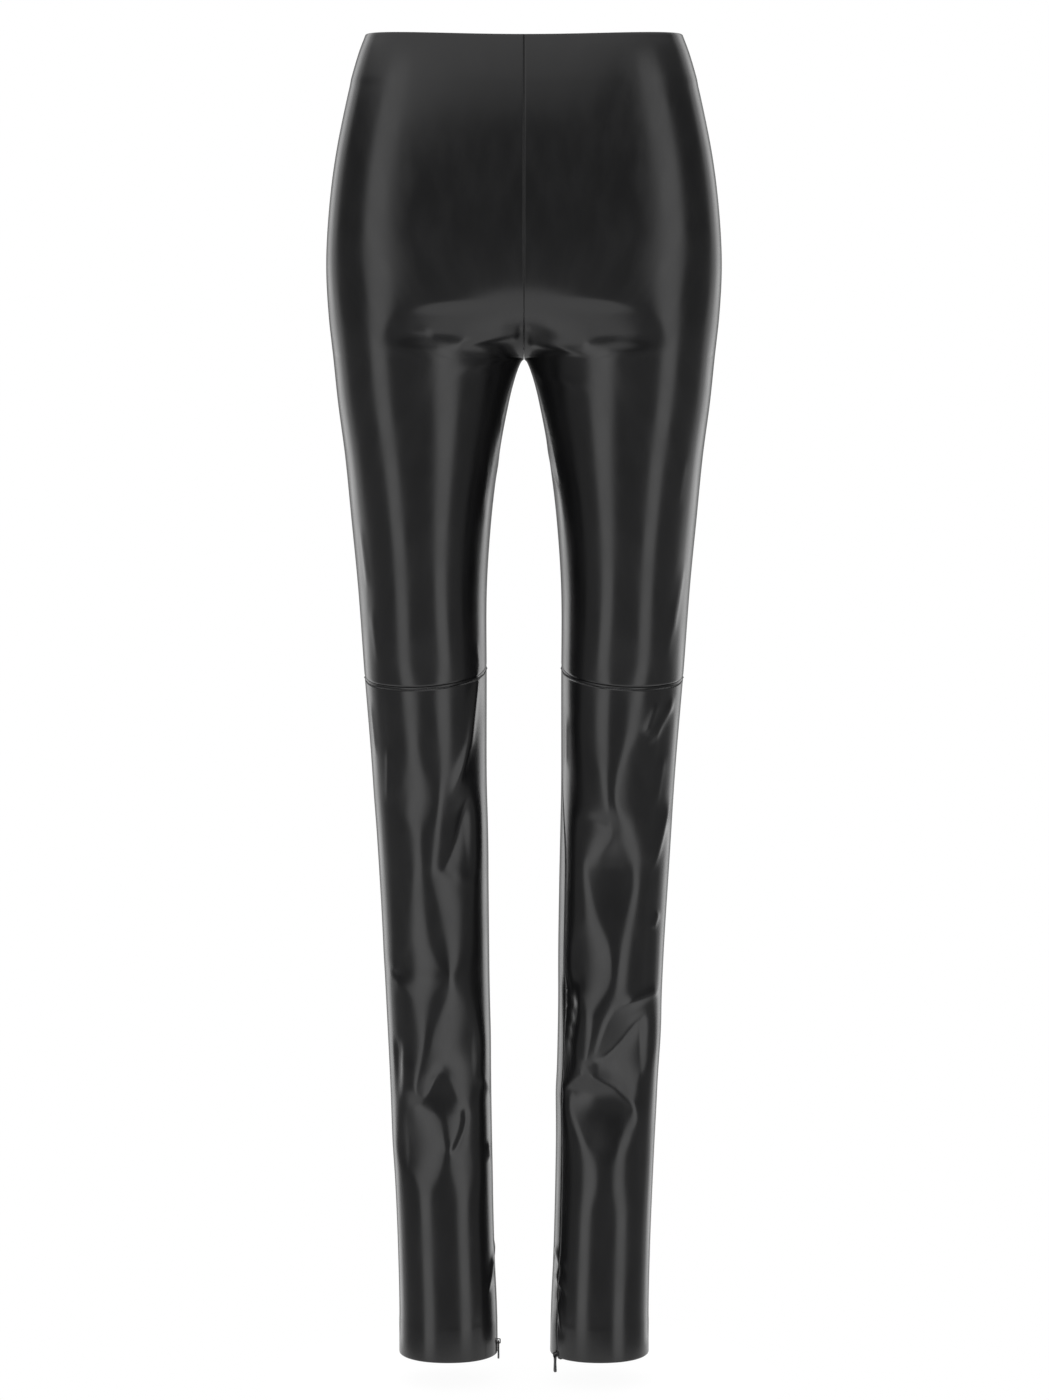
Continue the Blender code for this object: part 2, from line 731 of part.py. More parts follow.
def rounded_box_point(angle, half_width, half_height, power):
    """A point of a rounded rectangle, as two lengths."""
    side, up = math.sin(angle), math.cos(angle)
    width = math.copysign(abs(side) ** (2 / power), side) * half_width
    height = math.copysign(abs(up) ** (2 / power), up) * half_height
    return width, height


def make_slider(name, leg):
    """The slider: a body inside the leg, with a bridge through the seam that holds the tab."""
    frame = slider_frame(leg)
    pin = Vector((0, PIN_STANDOFF, 0))
    bridge_front = PIN_STANDOFF + PIN_ROOM + BRIDGE_BAR
    bridge_root = (SLIDER_FRONT + SLIDER_BACK) / 2

    def outer(angle):
        half = (bridge_front - bridge_root) / 2
        y, z = rounded_box_point(angle, half, BRIDGE_HEIGHT / 2, 8)
        return Vector((0, (bridge_front + bridge_root) / 2 + y, z))

    def inner(angle):
        y, z = rounded_box_point(angle, PIN_ROOM, BRIDGE_HEIGHT / 2 - BRIDGE_BAR, 8)
        return pin + Vector((0, y, z))

    bridge = new_object(
        name + ".bridge", ring_plate(outer, inner, BRIDGE_THICKNESS, Vector((1, 0, 0))), ZIP_METAL
    )
    bridge.matrix_world = frame
    bridge.hide_render = True
    bridge.display_type = "WIRE"

    bm = bmesh.new()
    size = Vector((SLIDER_WIDTH, SLIDER_FRONT - SLIDER_BACK, SLIDER_HEIGHT))
    middle = Matrix.Translation((0, (SLIDER_FRONT + SLIDER_BACK) / 2, 0))
    bmesh.ops.create_cube(bm, size=1.0, matrix=middle @ Matrix.Diagonal((*size, 1.0)))
    bmesh.ops.bevel(
        bm, geom=bm.edges[:], offset=SLIDER_BEVEL, affect="EDGES", segments=2, profile=0.5,
        material=-1,
    )
    slider = new_object(name, bm, ZIP_METAL)
    slider.matrix_world = frame
    joined = slider.modifiers.new("bridge", "BOOLEAN")
    joined.operation = "UNION"
    joined.solver = "EXACT"
    joined.object = bridge
    return slider


def make_tab(name, leg):
    """The pull tab, with its origin on its pin. It hangs straight down."""
    top = TAB_THICKNESS / 2
    half_length = TAB_LENGTH / 2

    def outer(angle):
        height = math.cos(angle)
        flare = (TAB_WAIST + TAB_FLARE * height**2) * math.sqrt(1 - height**6)
        return Vector((math.copysign(flare, math.sin(angle)), 0, top + half_length * (height - 1)))

    def inner(angle):
        x, z = rounded_box_point(angle, EYE_HALF_WIDTH, EYE_HEIGHT / 2, 3)
        return Vector((x, 0, z - top - EYE_HEIGHT / 2))

    tab = new_object(name, ring_plate(outer, inner, TAB_THICKNESS, Vector((0, 1, 0))), ZIP_METAL)
    tab.matrix_world = slider_frame(leg) @ Matrix.Translation((0, PIN_STANDOFF, 0))
    return tab


# ---------------------------------------------------------------- the whole

def main():
    """Builds every piece."""
    for obj in list(bpy.data.objects):
        bpy.data.objects.remove(obj)
    for leg, side in ((LEFT, "left"), (RIGHT, "right")):
        make_thigh_panel(f"front_{side}_thigh", leg, -1, 0)
        make_thigh_panel(f"back_{side}_thigh", leg, 0, 1)
        make_shin_panel(f"front_{side}_shin", leg, -1, 0)
        make_shin_panel(f"back_{side}_calf", leg, 0, 1)
        make_tape(f"zip_tape_{side}", leg)
        make_slider(f"zip_slider_{side}", leg)
        make_tab(f"zip_tab_{side}", leg)
    make_facing()


main()
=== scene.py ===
"""Leggings in glossy black faux leather, filled out with no wearer, as the photograph shows them.

Left and right are the wearer's: +X is the wearer's left, -Y the front and +Z up. Lengths are in
metres, except in the tables, whose rows are in millimetres and degrees.

The cloth follows one smooth form, given by level sections. "Depth" is how far a point lies below
the origin. "Around" is where it lies on one half of a section: -1 at the centre front (on a leg,
at the inseam), 0 at the side seam and 1 at the centre back (on a leg, at the inseam again).
"""

import logging
import math
from collections.abc import Callable, Sequence
from dataclasses import astuple, dataclass
from enum import Enum
from typing import Any

import bmesh
import bpy
import numpy as np
from mathutils import Matrix, Vector


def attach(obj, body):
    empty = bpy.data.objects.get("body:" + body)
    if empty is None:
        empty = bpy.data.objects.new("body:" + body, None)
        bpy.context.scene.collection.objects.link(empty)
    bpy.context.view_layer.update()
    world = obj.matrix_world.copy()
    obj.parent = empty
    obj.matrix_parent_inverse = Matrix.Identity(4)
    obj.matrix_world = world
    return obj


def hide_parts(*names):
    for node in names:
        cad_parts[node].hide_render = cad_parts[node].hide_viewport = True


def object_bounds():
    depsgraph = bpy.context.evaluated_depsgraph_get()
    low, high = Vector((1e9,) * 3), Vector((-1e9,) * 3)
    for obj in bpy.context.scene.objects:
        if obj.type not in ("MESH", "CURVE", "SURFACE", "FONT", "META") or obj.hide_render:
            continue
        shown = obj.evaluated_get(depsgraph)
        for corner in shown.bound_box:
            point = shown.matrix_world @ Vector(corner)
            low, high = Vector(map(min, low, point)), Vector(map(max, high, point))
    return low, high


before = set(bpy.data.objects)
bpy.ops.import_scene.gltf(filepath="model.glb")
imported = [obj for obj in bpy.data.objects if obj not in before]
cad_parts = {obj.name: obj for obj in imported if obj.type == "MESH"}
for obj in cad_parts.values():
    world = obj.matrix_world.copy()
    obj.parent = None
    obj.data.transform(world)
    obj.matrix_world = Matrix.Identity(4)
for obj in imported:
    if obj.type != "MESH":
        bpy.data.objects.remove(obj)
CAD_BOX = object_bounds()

MM = 0.001
log = logging.getLogger("leggings")


class Side(Enum):
    """A side of the garment, as the sign of X there."""

    LEFT = 1
    RIGHT = -1

    @property
    def word(self) -> str:
        """The side's name, as in the names of the pieces."""
        return self.name.lower()


class Face(Enum):
    """The front or back of the garment, as the sign of Y there."""

    FRONT = -1
    BACK = 1


# ---------------------------------------------------------------- the form


@dataclass(frozen=True)
class Section:
    """One level section of the form, in millimetres.

    It holds its depth, its half width at the side, half the gap between the legs, and where its
    front, side line and back lie on Y.
    """

    depth: float
    outer: float
    inner: float
    front: float
    side: float
    back: float


SECTIONS = (
    Section(-12, 127.0, 0.0, -77, -8, 83),
    Section(0, 130.5, 0.0, -80, -9, 86),
    Section(12, 135.0, 0.0, -84, -10, 89),
    Section(30, 140.5, 0.0, -89, -12, 93),
    Section(65, 148.8, 0.0, -96, -14, 101),
    Section(105, 156.4, 0.0, -100, -15, 109),
    Section(150, 161.8, 0.0, -101, -13, 115),
    Section(190, 164.0, 0.0, -99, -10, 116),
    Section(230, 162.4, 0.0, -94, -5, 112),
    Section(266, 158.8, 0.0, -88, 0, 102),
    Section(300, 155.6, 12.2, -84, 2, 92),
    Section(345, 150.0, 20.6, -81, 2, 83),
    Section(400, 144.8, 27.4, -77, 1, 76),
    Section(452, 139.9, 31.0, -71, 0, 68),
    Section(530, 134.4, 31.5, -60, 0, 55),
    Section(620, 127.9, 31.7, -51, 6, 60),
    Section(725, 121.4, 30.2, -43, 10, 62),
    Section(830, 116.2, 28.9, -39, 10, 57),
    Section(930, 111.4, 27.3, -37, 7, 50),
    Section(1034, 107.4, 24.8, -37, 4, 45),
    Section(1070, 106.7, 23.2, -38, 4, 45),
    Section(1112, 106.8, 22.4, -39, 4, 45),
)


def smoothstep(share: Any) -> Any:
    """Gives a smooth passage from 0 to 1, of a number or an array."""
    share = np.clip(share, 0.0, 1.0)
    return share * share * (3 - 2 * share)


@dataclass
class Form:
    """The smooth shape that the cloth follows, worked out once at closely spaced levels.

    A power tells how square an outline is: 2 is an ellipse. Of a pair, the first number is the
    front's and the second the back's, except that trunk_blend holds two heights over the crotch:
    the trunk's own outline starts to show at the first and is reached at the second. The legs'
    is reached leg_blend below the crotch.
    """

    sections: tuple[Section, ...] = SECTIONS
    crotch: float = 266 * MM
    hem: float = 1112 * MM
    trunk_powers: tuple[float, float] = (3.7, 2.3)
    crotch_powers: tuple[float, float] = (0.62, 0.85)
    leg_power: float = 2.15
    trunk_blend: tuple[float, float] = (10 * MM, 120 * MM)
    leg_blend: float = 200 * MM
    crotch_curve: float = 100 * MM
    crotch_spread: float = 3.0
    crotch_sharpness: float = 0.045
    crotch_rounding: float = 0.25
    samples: int = 481
    level_step: float = 2 * MM
    slope_step: float = 1 * MM

    def __post_init__(self) -> None:
        """Works out the outline of each level, with one spare level above and two below."""
        self.rows = np.array([astuple(section) for section in self.sections]) * MM
        self.rows[:, 2] **= 2
        self.slopes = np.gradient(self.rows, self.rows[:, 0], axis=0)
        self.arch = self.slopes[list(self.rows[:, 0]).index(self.crotch), 2]
        above = round((self.crotch - self.rows[0, 0]) / self.level_step) + 1
        below = round((self.hem - self.crotch) / self.level_step) + 3
        self.levels = self.crotch + self.level_step * np.arange(-above, below)
        self.outlines = np.array([self.outline(depth) for depth in self.levels])
        steps = np.linalg.norm(np.diff(self.outlines, axis=1), axis=2)
        self.lengths = steps.sum(axis=1)

    def section_at(self, depth: float) -> np.ndarray:
        """Gives the section's sizes at one depth, on a smooth curve through the rows.

        Args:
            depth: The depth below the origin.

        Returns:
            The section's depth, outer, inner, front, side and back, in metres.
        """
        depths = self.rows[:, 0]
        depth = min(max(depth, depths[0]), depths[-1])
        i = min(max(int(np.searchsorted(depths, depth)) - 1, 0), len(depths) - 2)
        span = depths[i + 1] - depths[i]
        u = (depth - depths[i]) / span
        value = (
            (2 * u**3 - 3 * u**2 + 1) * self.rows[i]
            + (u**3 - 2 * u**2 + u) * span * self.slopes[i]
            + (3 * u**2 - 2 * u**3) * self.rows[i + 1]
            + (u**3 - u**2) * span * self.slopes[i + 1]
        )
        value[2] = math.sqrt(max(value[2], 0.0)) if depth > self.crotch else 0.0
        return value

    def evenly(self, x: np.ndarray, y: np.ndarray, slack: float = 0.0) -> np.ndarray:
        """Spaces an outline's points evenly along it.

        Args:
            x: The outline's places on X, from its inner end to the side.
            y: Its places on Y.
            slack: How much longer the outline is that the points are spaced for. They draw
                together at the inner end.

        Returns:
            The same outline with evenly spaced points.
        """
        length = np.concatenate([[0.0], np.cumsum(np.hypot(np.diff(x), np.diff(y)))])
        from_side = np.linspace(1.0, 0.0, self.samples)
        steps = length[-1] - (length[-1] + slack) * from_side + slack * from_side**3
        return np.stack([np.interp(steps, length, x), np.interp(steps, length, y)], axis=1)

    def crotch_outline(self, sizes: np.ndarray, reach: float, power: float) -> np.ndarray:
        """Gives half a section near the crotch, where one outline parts into two.

        Args:
            sizes: The section's sizes.
            reach: How far the half reaches from the side line on Y.
            power: How round its outer side is: less is squarer.

        Returns:
            The outline's points.
        """
        depth, outer, inner, _, side, _ = sizes
        rise = self.crotch - depth
        near = inner**2
        if rise >= 0:
            share = min(rise / self.crotch_curve, 1.0)
            spread = outer**2 / self.crotch_spread
            near = -self.arch * rise * (1 - share) - spread * smoothstep(share)
        centre, radius = (outer**2 + near) / 2, (outer**2 - near) / 2
        turn = np.pi * np.linspace(0.0, 1.0, self.samples) ** 2
        root = np.sqrt(centre - radius * np.exp(1j * turn))
        share = np.clip(np.abs(root.imag) * 2 * math.sqrt(centre) / radius, 0.0, 1.0)
        inside = np.arange(self.samples) < np.argmax(share)
        sharp = self.crotch_sharpness**2
        steep = share * ((1 + sharp) / (share * share + sharp)) ** self.crotch_rounding
        share = np.where(inside, steep, share**power)
        return self.evenly(root.real, side + reach * share)

    def oval(self, sizes: np.ndarray, reach: float, power: float, parted: bool) -> np.ndarray:
        """Gives half a section as a rounded oval.

        Args:
            sizes: The section's sizes.
            reach: How far the half reaches from the side line on Y.
            power: How square it is.
            parted: Whether it is a leg's, and not the trunk's, which starts at the centre.

        Returns:
            The outline's points.
        """
        inner = sizes[2] if parted else -sizes[1]
        middle, half = (sizes[1] + inner) / 2, (sizes[1] - inner) / 2
        angle = np.linspace(math.pi if parted else math.pi / 2, 0.0, self.samples)
        x = middle + half * np.sign(np.cos(angle)) * np.abs(np.cos(angle)) ** (2 / power)
        x[0] = max(inner, 0.0)
        return self.evenly(x, sizes[4] + reach * np.abs(np.sin(angle)) ** (2 / power))

    def outline(self, depth: float) -> np.ndarray:
        """Gives the wearer's left section at one depth.

        Args:
            depth: The depth below the origin.

        Returns:
            Its points, from the centre front or inseam, by the side, to the centre back or
            inseam.
        """
        sizes = self.section_at(depth)
        sizes[0] = depth
        above = self.crotch - depth
        low, high = self.trunk_blend
        trunk = smoothstep((above - low) / (high - low))
        leg = smoothstep(-above / self.leg_blend)
        under = 1 - smoothstep(above / self.crotch_curve)
        halves = []
        for end, trunk_power, crotch_power in zip(
            (sizes[3], sizes[5]), self.trunk_powers, self.crotch_powers
        ):
            reach = end - sizes[4]
            half = self.crotch_outline(sizes, reach, crotch_power)
            half += trunk * (self.oval(sizes, reach, trunk_power, False) - half)
            half += leg * (self.oval(sizes, reach, self.leg_power, True) - half)
            slack = under * abs(half[0, 1] - sizes[4]) if above > 0 else 0.0
            halves.append(self.evenly(*half.T, slack))
        return np.concatenate([halves[0], halves[1][-2::-1]])

    def metre(self, depth: np.ndarray) -> np.ndarray:
        """Tells how much "around" one metre along the section is."""
        return 2 / np.interp(depth, self.levels, self.lengths)

    def read(self, table: np.ndarray, around: np.ndarray, depth: np.ndarray) -> np.ndarray:
        """Reads a table that has a row for each level and a column for each outline point.

        Args:
            table: The table, with one more axis for its values.
            around: Where to read it. Below the crotch it wraps at the inseam.
            depth: The depths.

        Returns:
            The values there, passing evenly between the table's.
        """
        around = np.where(depth > self.crotch, (around + 1) % 2 - 1, around)
        column = (np.clip(around, -1.0, 1.0) + 1) * (self.samples - 1)
        row = np.clip((depth - self.levels[0]) / self.level_step, 0, len(self.levels) - 1.001)
        i, j = row.astype(int), np.minimum(column.astype(int), 2 * self.samples - 3)
        u, v = (row - i)[..., None], (column - j)[..., None]
        upper = (1 - v) * table[i, j] + v * table[i, j + 1]
        lower = (1 - v) * table[i + 1, j] + v * table[i + 1, j + 1]
        return (1 - u) * upper + u * lower

    def point(self, around: np.ndarray, depth: np.ndarray) -> np.ndarray:
        """Gives points of the smooth form on the wearer's left.

        Args:
            around: Where they lie around the sections. Below the crotch it wraps at the inseam.
            depth: Their depths.

        Returns:
            Their places, an array with a last axis of X, Y and Z.
        """
        flat = self.read(self.outlines, around, depth)
        return np.concatenate([flat, -depth[..., None]], axis=-1)

    def normal(self, around: np.ndarray, depth: np.ndarray) -> np.ndarray:
        """Gives the directions out of the form on the wearer's left.

        Args:
            around: Where the points lie around the sections.
            depth: Their depths.

        Returns:
            Unit vectors, one for each point.
        """
        step = self.slope_step
        aside = step * self.metre(depth)
        along = self.point(around + aside, depth) - self.point(around - aside, depth)
        down = self.point(around, depth + step) - self.point(around, depth - step)
        out = np.cross(down, along)
        return out / np.linalg.norm(out, axis=-1, keepdims=True)

    def around_at(self, across: float, depth: float, face: Face) -> float:
        """Finds where a point of the front or back lies around its section.

        Args:
            across: Its distance from the centre plane.
            depth: Its depth.
            face: Front or back.

        Returns:
            Its "around".
        """
        outline = self.outlines[int(round((depth - self.levels[0]) / self.level_step))]
        middle = self.samples - 1
        half = outline[: middle + 1] if face is Face.FRONT else outline[: middle - 1 : -1]
        shares = np.linspace(face.value, 0, middle + 1)
        return float(np.interp(across, half[:, 0], shares))


# ---------------------------------------------------------------- the folds


@dataclass(frozen=True)
class Crease:
    """A soft ridge or trough in the cloth.

    Its path has points (across, depth), in millimetres from the centre plane and below the
    origin, and runs downwards or, where it is level, outwards. rise is its height, below 0 for a
    trough. Its widths are how far it reaches on the inner side (below a level one) and on the
    outer side (above a level one). It fades over the share of its length in fade, at its start
    and at its end.
    """

    path: tuple[tuple[float, float], ...]
    rise: float
    inner_width: float
    outer_width: float
    fade: tuple[float, float] = (0.3, 0.3)
    face: Face = Face.FRONT


@dataclass(frozen=True)
class Facet:
    """A flat patch that the folds leave between them.

    Its middle is across and depth millimetres from the centre plane and below the origin. It
    faces turn degrees towards the outer side and tilt degrees up, or down below 0. It lies push
    millimetres inside the smooth form, and fades out round half_width and half_height.
    """

    across: float
    depth: float
    turn: float
    tilt: float
    push: float
    half_width: float
    half_height: float
    face: Face = Face.FRONT


@dataclass(frozen=True)
class Strip:
    """A run of cloth down a leg that faces one way, nearly, all along.

    It faces turn degrees towards the outer side in its middle, spread degrees less at its inner
    edge and spread degrees more at its outer one. Each row gives a depth, and how far across the
    strip starts and stops there. fade is over how much depth it comes up at its start and goes
    at its end, in millimetres.
    """

    turn: float
    rows: tuple[tuple[float, float, float], ...]
    fade: tuple[float, float] = (0, 0)
    spread: float = 6

    def bends(self, depth: float) -> tuple[list[tuple[float, float]], float]:
        """Gives the strip's edges at one depth, and how far it has come up there.

        Args:
            depth: The depth.

        Returns:
            Each edge's place across and the sine of its turn, and a share from 0 to 1.
        """
        rows = np.array(self.rows) * MM
        if not rows[0, 0] <= depth <= rows[-1, 0]:
            return [], 0.0
        share = 1.0
        for reach, past in zip(self.fade, (depth - rows[0, 0], rows[-1, 0] - depth)):
            if reach:
                share *= float(smoothstep(past / (reach * MM)))
        edges = []
        for column, turn in ((1, self.turn - self.spread), (2, self.turn + self.spread)):
            place = float(np.interp(depth, rows[:, 0], rows[:, column]))
            edges.append((place, math.sin(math.radians(turn))))
        return edges, share


@dataclass
class Buckling:
    """How a leg buckles below the knee, given by strips of cloth that face one way each.

    From one strip to the next the cloth turns evenly. How far its turn differs from the smooth
    form's tells how steeply it rises along each section, up to steepest degrees. The rise is the
    sheet that comes closest to this steepness all over while it stays as level as it can down
    the leg (level_weight), and near the form over any run wider than widest. softness rounds its
    bends. Where the form turns to the side, past rim_start, only rim_share of the rise is left.
    """

    form: Form
    front: tuple[Strip, ...]
    back: tuple[Strip, ...]
    steepest: float = 55.0
    level_weight: float = 0.3
    widest: float = 45 * MM
    softness: float = 0.8 * MM
    rim_share: float = 0.15
    rim_start: float = 0.70
    end_fade: float = 25 * MM

    def __post_init__(self) -> None:
        """Works out the rise at each level and outline point."""
        form = self.form
        count = 2 * (form.samples - 1)
        steepness = np.zeros((len(form.levels), count))
        for face, strips in ((Face.FRONT, self.front), (Face.BACK, self.back)):
            first = min(strip.rows[0][0] for strip in strips) * MM
            last = max(strip.rows[-1][0] for strip in strips) * MM
            for i in np.flatnonzero((form.levels > first) & (form.levels < last)):
                near = min(form.levels[i] - first, last - form.levels[i]) / self.end_fade
                values = smoothstep(near) * self.steepness(i, strips, face)
                if face is Face.FRONT:
                    steepness[i, : form.samples] = values
                else:
                    steepness[i, form.samples - 1 :] = -values[:0:-1]
        across = 2 * math.pi * np.fft.fftfreq(count, form.lengths[-1] / count)[None, :]
        down = 2 * math.pi * np.fft.fftfreq(len(form.levels), form.level_step)[:, None]
        whole = across**2 + self.level_weight * down**2 + (1 / self.widest) ** 2
        softened = np.exp(-(across**2 + down**2) * self.softness**2 / 2)
        spectrum = np.fft.fft2(steepness) * -1j * across / whole * softened
        rise = np.fft.ifft2(spectrum).real * self.rim_window()
        self.table = np.concatenate([rise, rise[:, :1]], axis=1)[..., None]

    def rim_window(self) -> np.ndarray:
        """Tells how much of the rise is kept: little where the form turns to the side."""
        run = np.diff(self.form.outlines[:, :, 0], axis=1)
        length = self.form.lengths / (2 * (self.form.samples - 1))
        aside = np.sqrt(np.maximum(1 - (run / length[:, None]) ** 2, 0.0))
        past = (aside - self.rim_start) / (1 - self.rim_start)
        return 1 - (1 - self.rim_share) * smoothstep(past)

    def steepness(self, index: int, strips: tuple[Strip, ...], face: Face) -> np.ndarray:
        """Tells how steeply the cloth rises along one level of a face.

        Args:
            index: The level's number.
            strips: The face's strips.
            face: The face.

        Returns:
            The rise for each metre outwards, from the inseam to the side.
        """
        form, depth = self.form, self.form.levels[index]
        outline = form.outlines[index]
        outline = outline[: form.samples] if face is Face.FRONT else outline[: form.samples - 2 : -1]
        x, y = outline.T
        given = [strip.bends(depth) for strip in strips]
        bends = sorted(bend for edges, share in given if share == 1.0 for bend in edges)
        whole = np.array([(x[0], -1.0), *bends, (x[-1], 1.0)])
        for edges, share in given:
            if 0.0 < share < 1.0:
                for across, lean in edges:
                    before = float(np.interp(across, *whole.T))
                    bends.append((across, before + share * (lean - before)))
        knots = np.array([(x[0], -1.0), *sorted(bends), (x[-1], 1.0)])
        wanted = np.arcsin(np.clip(np.interp(x, *knots.T), -1.0, 1.0))
        smooth = np.arctan2(np.gradient(y) * -face.value, np.gradient(x))
        limit = math.radians(self.steepest)
        return np.tan(np.clip(smooth - wanted, -limit, limit))


RIGHT_STRIPS = (
    Strip(19, (
        (516, 88, 100), (550, 86.5, 98.5), (571, 86.5, 96.5), (587, 86.5, 94), (604, 83.5, 96),
        (621, 77, 102), (636, 75, 110), (646, 79, 102), (655, 82.5, 91), (666, 85.5, 89.5),
        (692, 84.5, 90.5), (726, 83, 94.5), (754, 80.5, 98), (768, 74.5, 106),
        (781, 65, 110), (790, 70.5, 104), (800, 78.5, 94.5), (815, 81, 90.5),
        (836, 83, 86.5), (862, 87.5, 90.5), (879, 90.5, 93.5), (887, 89, 95), (896, 79, 98.5),
        (904, 70, 101.5), (930, 65.5, 107), (943, 69, 103.5), (953, 73, 94.5), (964, 76.5, 86.5),
        (985, 77.5, 87),
    )),
    Strip(-19, (
        (516, 60, 72.5), (550, 61.5, 73.5), (579, 61, 71), (600, 62.5, 69), (617, 65, 69.5),
        (650, 69, 72.5), (671, 71, 75.5), (689, 75, 78), (697, 57.5, 77.5), (706, 45, 75.5),
        (718, 48.5, 72), (735, 52.5, 68.5), (756, 53.5, 64.5), (770, 56, 63), (780, 60, 62.5),
        (792, 58, 63), (804, 49.5, 65.5), (819, 44.5, 72), (833, 38, 77), (845, 35.5, 79.5),
        (858, 38.5, 83),
    )),
    Strip(-36, (
        (607, 44, 48), (621, 44.5, 52.5), (634, 46.5, 58), (646, 49, 64), (663, 52.5, 67),
        (677, 59.5, 69), (689, 67, 71.5), (694, 70.5, 71.5),
    ), (20, 6)),
    Strip(-20, (
        (625, 40, 43.5), (650, 38.5, 47.5), (667, 38.5, 52), (682, 39.5, 58.5), (691, 41, 63.5),
        (697, 42.5, 57),
    ), (24, 0)),
    Strip(-19, (
        (858, 72, 83), (870, 76.5, 86.5), (880, 80.5, 88.5), (890, 86.5, 88),
    ), (0, 3)),
    Strip(0, (
        (865, 65.5, 69.5), (875, 62, 75.5), (885, 58, 81.5), (892, 54.5, 87.5),
    ), (4, 4), 4),
    Strip(-19, (
        (858, 38.5, 67), (870, 40.5, 61.5), (884, 43, 55), (894, 43.5, 47.5), (906, 44, 46.5),
        (914, 44.5, 48.5), (926, 45.5, 54), (938, 44, 62.5), (950, 42, 60.5), (964, 43, 54.5),
        (985, 43, 52),
    )),
    Strip(-17, (
        (895, 55, 66), (904, 53, 65), (912, 55, 64), (920, 58, 64), (928, 61, 64),
    ), (3, 8), 4),
    Strip(-36, (
        (895, 49, 53), (904, 48, 51), (914, 50, 53), (926, 55.5, 59), (936, 63, 65),
    ), (3, 8), 3),
    Strip(60, (
        (770, 111.5, 114), (780, 109, 113), (792, 105.5, 112.5), (802, 107.5, 111.5),
    ), (8, 8), 4),
    Strip(60, (
        (850, 107.5, 109), (862, 101, 110), (874, 101, 110), (887, 105, 109),
    ), (8, 8), 4),
)
LEFT_STRIPS = (
    Strip(38, (
        (575, 94, 108), (594, 86, 106), (612, 80.5, 104), (626, 78.3, 102), (638, 79.8, 102),
        (652, 91, 106),
    ), (18, 14), 4),
    Strip(-19, (
        (516, 58.5, 70.5), (550, 57.5, 68.5), (583, 59, 68.5), (596, 61, 69), (610, 64.5, 69),
        (634, 67, 70.5), (654, 69.5, 73.5), (660, 47, 74.5), (667, 48, 72.5), (675, 49.5, 62.5),
        (682, 47.5, 53.5), (691, 47.5, 50.5), (705, 48, 52.5), (722, 50, 57), (735, 51.5, 61.5),
        (745, 46, 65.5), (756, 41.5, 70.5), (768, 40, 73), (784, 42, 73), (794, 45.5, 69.5),
        (804, 53, 63), (812, 54.5, 58.5), (832, 53.5, 57.5), (849, 51, 54.5), (860, 49.5, 53),
        (867, 47, 54.5), (875, 41, 59),
    )),
    Strip(19, (
        (516, 85, 96.5), (550, 83.5, 94), (571, 83, 89.5), (587, 80, 84), (608, 75.5, 77.5),
        (624, 74, 75.5), (635, 74, 76.5), (649, 77.5, 82.5), (661, 78, 91), (671, 79.5, 95.5),
        (681, 87, 98), (691, 93, 98.5), (708, 93.5, 98), (722, 89.5, 95.5), (739, 84.5, 90.5),
        (753, 79.5, 85.5), (777, 77, 81), (794, 75, 80.5), (804, 71.5, 79), (819, 64, 69.5),
        (836, 59.5, 64), (855, 54.5, 58),
    )),
    Strip(0, (
        (687, 53.5, 90.5), (694, 53, 90.5), (709, 56.5, 89.5), (726, 61, 85.5), (743, 68.5, 78.5),
        (752, 73, 77),
    ), (3, 12), 5),
    Strip(-19, (
        (644, 46, 52), (650, 45, 58.5), (658, 46.5, 68.5),
    ), (6, 4)),
    Strip(35, (
        (806, 82, 104), (819, 72, 99), (832, 67, 86.5), (845, 62, 73), (855, 59, 62),
    ), (6, 8), 3),
    Strip(19, (
        (813, 107.5, 110.5), (828, 98, 110.5), (838, 87.5, 111), (848, 74, 110), (858, 63, 106),
        (867, 60.5, 100), (877, 76.5, 95), (885, 90.5, 94.5), (897, 95.5, 98), (906, 95.5, 98),
        (913, 92.5, 96),
    ), (10, 4)),
    Strip(-19, (
        (875, 32, 33.5), (887, 30.5, 34.5), (897, 34, 38), (913, 41, 45), (928, 47.5, 52.5),
        (937, 50.5, 59.5), (951, 50.5, 61.5), (985, 51.5, 61.5),
    ), (4, 0)),
    Strip(0, (
        (882, 43.5, 79), (891, 40.5, 91), (901, 41, 91), (913, 47, 80.5), (923, 52, 74),
        (932, 56.5, 69),
    ), (8, 10), 5),
    Strip(19, (
        (918, 82.5, 97.5), (926, 78.5, 86), (932, 77, 81), (943, 74, 81.5), (985, 75, 84),
    ), (6, 0)),
    Strip(-60, (
        (790, 32.5, 35), (801, 33.5, 44.5), (814, 34.5, 49.5), (828, 33.5, 47), (843, 32.5, 43.5),
        (857, 32.5, 44.5), (867, 32, 41), (879, 31, 33),
    ), (10, 10), 4),
)
RIGHT_FACETS = (
    Facet(45, 239, -4, -20, 0.6, 60, 14),
    Facet(105, 866, 58, 0, 0.8, 7, 24),
)
LEFT_FACETS = (
    Facet(45, 239, -4, -20, 0.6, 60, 16),
    Facet(39, 819, -56, 4, 1.6, 13, 30),
)
